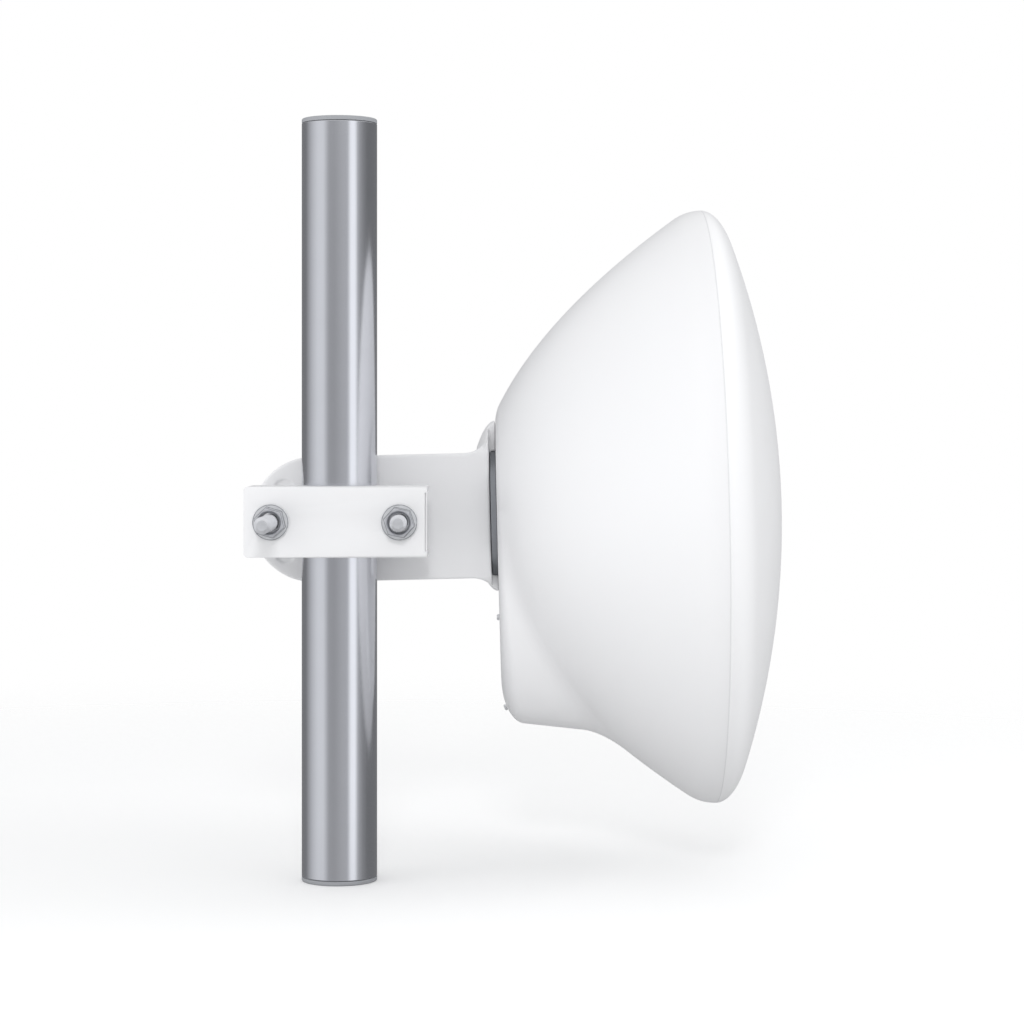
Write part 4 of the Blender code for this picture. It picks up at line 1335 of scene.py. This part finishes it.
class DISH_OT_cover(bpy.types.Operator):
    """Model the port cover in the back of the housing, with its two screws"""

    bl_idname = "dish.cover"
    bl_label = "Port Cover and Screws"

    def execute(self, context):
        scene = context.scene
        head = scene.dish_head
        housing = scene.dish_housing
        gap = scene.dish_pole.gap
        base = dish_frame(scene)
        height = housing.cover_top - housing.cover_bottom
        middle = (housing.cover_top + housing.cover_bottom) / 2
        cover = cover_block(
            "port_cover_plate", height, housing.cover_width, housing.cover_thick, housing.cover_corner
        )
        cover_edge = 0.0004
        soften(cover, cover_edge, 3, 40.0)
        settle(cover, base, (head.back + housing.cover_thick / 2, 0.0, middle), FACE_FORWARD)
        dress(cover, finish("shell_plastic"), "head", "shell", "port_cover")

        radius = housing.screw / 2
        tall = housing.screw_height
        rounding = 0.6 * tall
        dome = [(0.0, tall), (0.45 * radius, tall)]
        dome += arc((radius - rounding, tall - rounding), rounding, 90, 0, 6) + [(radius, 0.0), (0.0, 0.0)]
        screw = lathe("pan_screw", dome, 48)
        cross = 0.7 * housing.screw
        blade = 0.0006
        for size in ((cross, blade, tall), (blade, cross, tall)):
            combine(screw, add_cube("cross", size, (0.0, 0.0, tall)))
        seats = (
            ("top", head.back, housing.cover_top - housing.screw_inset, 0.0),
            ("bottom", *self.corner_seat(head, housing)),
        )
        for label, u, z, lean in seats:
            twin = copy_piece(screw, "cover_pan_screw_" + label)
            place = (u - 1.5 * gap * math.cos(lean), 0.0, z - 1.5 * gap * math.sin(lean))
            settle(twin, base, place, (0.0, math.radians(-90.0) - lean, 0.0))
            dress(twin, finish("plated_screws"), "head", "fastener", "cover_screw_" + label)
        bpy.data.objects.remove(screw, do_unlink=True)
        return {"FINISHED"}

    def corner_seat(self, head, housing):
        """Where the lower screw sits on the housing's rounded back corner, and how far it leans down."""
        swing = housing.corner_screw
        across = housing.corner * housing.stretch
        u = head.back + housing.corner * (1.0 - math.cos(swing))
        drop = shell_radius(head, housing, u, 0.0) - across * (1.0 - math.sin(swing))
        return u, -drop, math.atan2(housing.corner * math.sin(swing), across * math.cos(swing))


class DISH_OT_radome(bpy.types.Operator):
    """Model the radome: a shallow dome that rolls over at its rim"""

    bl_idname = "dish.radome"
    bl_label = "Radome"

    def execute(self, context):
        scene = context.scene
        head = scene.dish_head
        dome = lathe("radome_dome", self.side(head, scene.dish_radome), scene.dish_stage.steps)
        apply_modifier(dome, "SOLIDIFY", thickness=scene.dish_radome.wall, offset=-1.0, use_even_offset=True)
        settle(dome, dish_frame(scene), rotation=FACE_FORWARD)
        dress(dome, finish("radome_plastic"), "head", "radome", "radome", angle=50.0)
        return {"FINISHED"}

    def side(self, head, radome):
        """Section from the apex out to the seam, with the seam's edge rounded."""
        points = []
        front, rim, edge = 30, 32, 5
        for i in range(front):
            radius = radome.join * i / front
            points.append((radius, radome.apex - radome.cap + math.sqrt(radome.cap**2 - radius**2)))
        reach = head.radius - radome.rim_centre
        start = math.acos((radome.join - radome.rim_centre) / reach)
        end = math.asin((head.half_gap + head.edge) / radome.rim_depth)
        for i in range(rim + 1):
            angle = start + (end - start) * i / rim
            points.append((radome.rim_centre + reach * math.cos(angle), radome.rim_depth * math.sin(angle)))
        edge_radius, edge_height = points[-1]
        drop = edge_height - head.half_gap
        for i in range(1, edge + 1):
            swing = math.pi / 2 * i / edge
            inset = head.edge * (1.0 - math.cos(swing))
            points.append((edge_radius - inset, edge_height - drop * math.sin(swing)))
        return points


class DISH_OT_gasket(bpy.types.Operator):
    """Model the gasket in the seam round the rim"""

    bl_idname = "dish.gasket"
    bl_label = "Rim Gasket"

    def execute(self, context):
        scene = context.scene
        head = scene.dish_head
        sunk = 0.00003
        play = 0.00002
        rounded = 0.00005
        thick = 0.0018
        outer = head.radius - sunk
        half = head.half_gap - play
        profile = rounded_profile(outer, -half, half, rounded, outer - thick, 2)
        ring = lathe("rim_sealing_ring", profile, scene.dish_stage.steps, closed=True)
        settle(ring, dish_frame(scene), rotation=FACE_FORWARD)
        dress(ring, finish("gasket_rubber"), "head", "rubber", "rim_gasket")
        return {"FINISHED"}


class DISH_OT_stage(bpy.types.Operator):
    """Set the pale floor, the soft lights, the white surroundings and the camera"""

    bl_idname = "dish.stage"
    bl_label = "Studio Stage"

    def execute(self, context):
        scene = context.scene
        stage = scene.dish_stage
        self.floor(scene, stage)
        self.surroundings(scene)
        for name, place, size, energy in self.lights():
            self.add_light(name, place, size, energy)
        deselect()
        bpy.ops.object.camera_add(location=stage.camera, rotation=(math.radians(90.0), 0.0, 0.0))
        camera = bpy.context.object
        camera.name = "camera"
        camera.data.lens = stage.lens
        camera.data.sensor_width = 36.0
        camera.data.shift_x = stage.shift_x
        camera.data.shift_y = stage.shift_y
        camera.data.clip_start = 0.05
        scene.camera = camera
        scene.view_settings.view_transform = "Standard"
        return {"FINISHED"}

    def lights(self):
        """Name, place, side and power of each soft square light; all face the middle of the dish."""
        return [
            ("left_softbox", (-1.46, -0.90, 1.52), 1.0, 1.4),
            ("left_low_softbox", (-1.90, -0.85, 0.36), 1.0, 3.4),
            ("right_softbox", (2.25, 0.05, 1.00), 1.0, 10.4),
            ("front_softbox", (0.10, -2.04, 1.08), 0.3, 10.2),
        ]

    def add_light(self, name, place, size, energy):
        """A soft light; what shows in glossy surfaces comes from the studio's light cards instead."""
        deselect()
        bpy.ops.object.light_add(type="AREA", location=place)
        light = bpy.context.object
        light.name = name
        light.data.shape = "RECTANGLE"
        light.data.size = size
        light.data.size_y = size
        light.data.energy = energy
        light.visible_glossy = False
        aim = Vector(LIGHT_TARGET) - Vector(place)
        light.rotation_euler = aim.to_track_quat("-Z", "Y").to_euler()

    def surroundings(self, scene):
        """White backdrop, soft grey studio, and upright light cards that glossy surfaces reflect."""
        world = bpy.data.worlds.new("studio_surroundings")
        world.use_nodes = True
        world.cycles.sampling_method = "NONE"
        scene.world = world
        tree = world.node_tree
        studio = tree.nodes["Background"]
        tree.links.new(self.soft_studio(tree), studio.inputs["Color"])
        cards = tree.nodes.new("ShaderNodeBackground")
        tree.links.new(self.light_cards(tree), cards.inputs["Color"])
        backdrop = tree.nodes.new("ShaderNodeBackground")
        backdrop.inputs["Color"].default_value = (1.0, 1.0, 1.0, 1.0)
        path = tree.nodes.new("ShaderNodeLightPath")
        glossy = tree.nodes.new("ShaderNodeMixShader")
        tree.links.new(path.outputs["Is Glossy Ray"], glossy.inputs["Fac"])
        tree.links.new(studio.outputs["Background"], glossy.inputs[1])
        tree.links.new(cards.outputs["Background"], glossy.inputs[2])
        seen = tree.nodes.new("ShaderNodeMixShader")
        tree.links.new(path.outputs["Is Camera Ray"], seen.inputs["Fac"])
        tree.links.new(glossy.outputs["Shader"], seen.inputs[1])
        tree.links.new(backdrop.outputs["Background"], seen.inputs[2])
        tree.links.new(seen.outputs["Shader"], tree.nodes["World Output"].inputs["Surface"])

    def soft_studio(self, tree):
        """Soft light of the white room: a little brighter from above than from below."""
        coordinates = tree.nodes.new("ShaderNodeTexCoord")
        split = tree.nodes.new("ShaderNodeSeparateXYZ")
        tree.links.new(coordinates.outputs["Generated"], split.inputs["Vector"])
        ramp = tree.nodes.new("ShaderNodeMapRange")
        ramp.inputs["From Min"].default_value = -1.0
        ramp.inputs["From Max"].default_value = 1.0
        ramp.inputs["To Min"].default_value = ROOM_LOW
        ramp.inputs["To Max"].default_value = ROOM_HIGH
        tree.links.new(split.outputs["Z"], ramp.inputs["Value"])
        shade = tree.nodes.new("ShaderNodeVectorMath")
        shade.operation = "SCALE"
        shade.inputs[0].default_value = ROOM_TINT
        tree.links.new(ramp.outputs["Result"], shade.inputs["Scale"])
        return shade.outputs["Vector"]

    def light_cards(self, tree):
        """Brightness round the studio by the angle from behind the camera; ceiling and foot are even."""
        coordinates = tree.nodes.new("ShaderNodeTexCoord")
        split = tree.nodes.new("ShaderNodeSeparateXYZ")
        tree.links.new(coordinates.outputs["Generated"], split.inputs["Vector"])
        toward = add_math(tree, "MULTIPLY", split.outputs["Y"], -1.0)
        angle = add_math(tree, "ARCTAN2", split.outputs["X"], toward)
        part = add_math(tree, "MULTIPLY_ADD", angle, 0.5 / math.pi, 0.5)
        ramp = tree.nodes.new("ShaderNodeValToRGB")
        tree.links.new(part, ramp.inputs["Fac"])
        stops = ramp.color_ramp.elements
        for degrees, shade in CARD_STOPS:
            place = (degrees + 180.0) / 360.0
            if degrees == -180:
                stop = stops[0]
            elif degrees == 180:
                stop = stops[-1]
            else:
                stop = stops.new(place)
            stop.color = (0.97 * shade, 0.98 * shade, shade, 1.0)
        steep = tree.nodes.new("ShaderNodeMapRange")
        steep.interpolation_type = "SMOOTHSTEP"
        steep.inputs["From Min"].default_value = CARDS_END
        steep.inputs["From Max"].default_value = CEILING_START
        tree.links.new(add_math(tree, "ABSOLUTE", split.outputs["Z"]), steep.inputs["Value"])
        even = tree.nodes.new("ShaderNodeMapRange")
        even.inputs["From Min"].default_value = -CEILING_RANGE
        even.inputs["From Max"].default_value = CEILING_RANGE
        even.inputs["To Min"].default_value = FOOT_SHADE
        even.inputs["To Max"].default_value = CEILING_SHADE
        tree.links.new(split.outputs["Z"], even.inputs["Value"])
        shade = tree.nodes.new("ShaderNodeMix")
        shade.data_type = "RGBA"
        tree.links.new(steep.outputs["Result"], shade.inputs["Factor"])
        tree.links.new(ramp.outputs["Color"], shade.inputs["A"])
        tree.links.new(even.outputs["Result"], shade.inputs["B"])
        return shade.outputs["Result"]

    def floor(self, scene, stage):
        """A round pale floor that fades out into the surroundings and throws light up from its left."""
        deselect()
        bpy.ops.mesh.primitive_circle_add(vertices=96, radius=stage.floor, fill_type="NGON")
        floor = name_new("studio_floor")
        material, tree, shader, mapping = start_material("pale_floor")
        colour = scene.dish_finishes.floor
        place = mapping.outputs["Vector"]
        tone = place_group(tree, "tone_drift", place, Colour=(*colour, 1.0), Amount=0.01, Scale=3.0)
        path = tree.nodes.new("ShaderNodeLightPath")
        bounce = tree.nodes.new("ShaderNodeMix")
        bounce.data_type = "RGBA"
        bounce.inputs["A"].default_value = (0.74, 0.74, 0.74, 1.0)
        tree.links.new(path.outputs["Is Camera Ray"], bounce.inputs["Factor"])
        tree.links.new(tone.outputs["Colour"], bounce.inputs["B"])
        tree.links.new(bounce.outputs["Result"], shader.inputs["Base Color"])
        shader.inputs["Roughness"].default_value = 0.7
        shader.inputs["Specular IOR Level"].default_value = 0.2
        shader.inputs["Emission Color"].default_value = (1.0, 1.0, 1.0, 1.0)
        reach = tree.nodes.new("ShaderNodeVectorMath")
        reach.operation = "DOT_PRODUCT"
        reach.inputs[1].default_value = FLOOR_GLOW_SIDE
        tree.links.new(place, reach.inputs[0])
        ahead = tree.nodes.new("ShaderNodeMapRange")
        ahead.interpolation_type = "SMOOTHSTEP"
        ahead.inputs["From Min"].default_value = FLOOR_GLOW_START
        ahead.inputs["From Max"].default_value = FLOOR_GLOW_FULL
        ahead.inputs["To Max"].default_value = FLOOR_GLOW
        tree.links.new(reach.outputs["Value"], ahead.inputs["Value"])
        glow = tree.nodes.new("ShaderNodeMix")
        tree.links.new(path.outputs["Is Camera Ray"], glow.inputs["Factor"])
        tree.links.new(ahead.outputs["Result"], glow.inputs["A"])
        glow.inputs["B"].default_value = FLOOR_LIFT
        tree.links.new(glow.outputs["Result"], shader.inputs["Emission Strength"])
        distance = tree.nodes.new("ShaderNodeVectorMath")
        distance.operation = "LENGTH"
        tree.links.new(place, distance.inputs[0])
        fade = tree.nodes.new("ShaderNodeMapRange")
        fade.interpolation_type = "SMOOTHSTEP"
        fade.inputs["From Min"].default_value = 0.25 * stage.floor
        fade.inputs["From Max"].default_value = 0.95 * stage.floor
        fade.inputs["To Min"].default_value = 1.0
        fade.inputs["To Max"].default_value = 0.0
        tree.links.new(distance.outputs["Value"], fade.inputs["Value"])
        tree.links.new(fade.outputs["Result"], shader.inputs["Alpha"])
        floor.data.materials.append(material)
        floor.visible_glossy = False


STEPS = (
    DISH_OT_pole,
    DISH_OT_clamp,
    DISH_OT_fasteners,
    DISH_OT_arm,
    DISH_OT_hub_parts,
    DISH_OT_shell,
    DISH_OT_cover,
    DISH_OT_radome,
    DISH_OT_gasket,
    DISH_OT_stage,
)


class DISH_PT_parts(bpy.types.Panel):
    """The dish antenna's pieces and their sizes"""

    bl_idname = "DISH_PT_parts"
    bl_label = "Dish Antenna"
    bl_space_type = "VIEW_3D"
    bl_region_type = "UI"
    bl_category = "Dish Antenna"

    def draw(self, context):
        column = self.layout.column(align=True)
        for step in STEPS:
            column.operator(step.bl_idname)
        for label, group in GROUPS.items():
            box = self.layout.box()
            box.label(text=label.replace("_", " ").title())
            for name in group.__annotations__:
                box.prop(getattr(context.scene, label), name)


def register():
    for group in GROUPS.values():
        bpy.utils.register_class(group)
    for label, group in GROUPS.items():
        setattr(bpy.types.Scene, label, PointerProperty(type=group))
    for step in STEPS:
        bpy.utils.register_class(step)
    bpy.utils.register_class(DISH_PT_parts)


def unregister():
    bpy.utils.unregister_class(DISH_PT_parts)
    for step in reversed(STEPS):
        bpy.utils.unregister_class(step)
    for label in GROUPS:
        delattr(bpy.types.Scene, label)
    for group in reversed(list(GROUPS.values())):
        bpy.utils.unregister_class(group)


def main():
    register()
    bpy.ops.dish.pole()
    bpy.ops.dish.clamp()
    bpy.ops.dish.fasteners()
    bpy.ops.dish.arm()
    bpy.ops.dish.hub_parts()
    bpy.ops.dish.shell()
    bpy.ops.dish.cover()
    bpy.ops.dish.radome()
    bpy.ops.dish.gasket()
    bpy.ops.dish.stage()


if __name__ == "__main__":
    main()
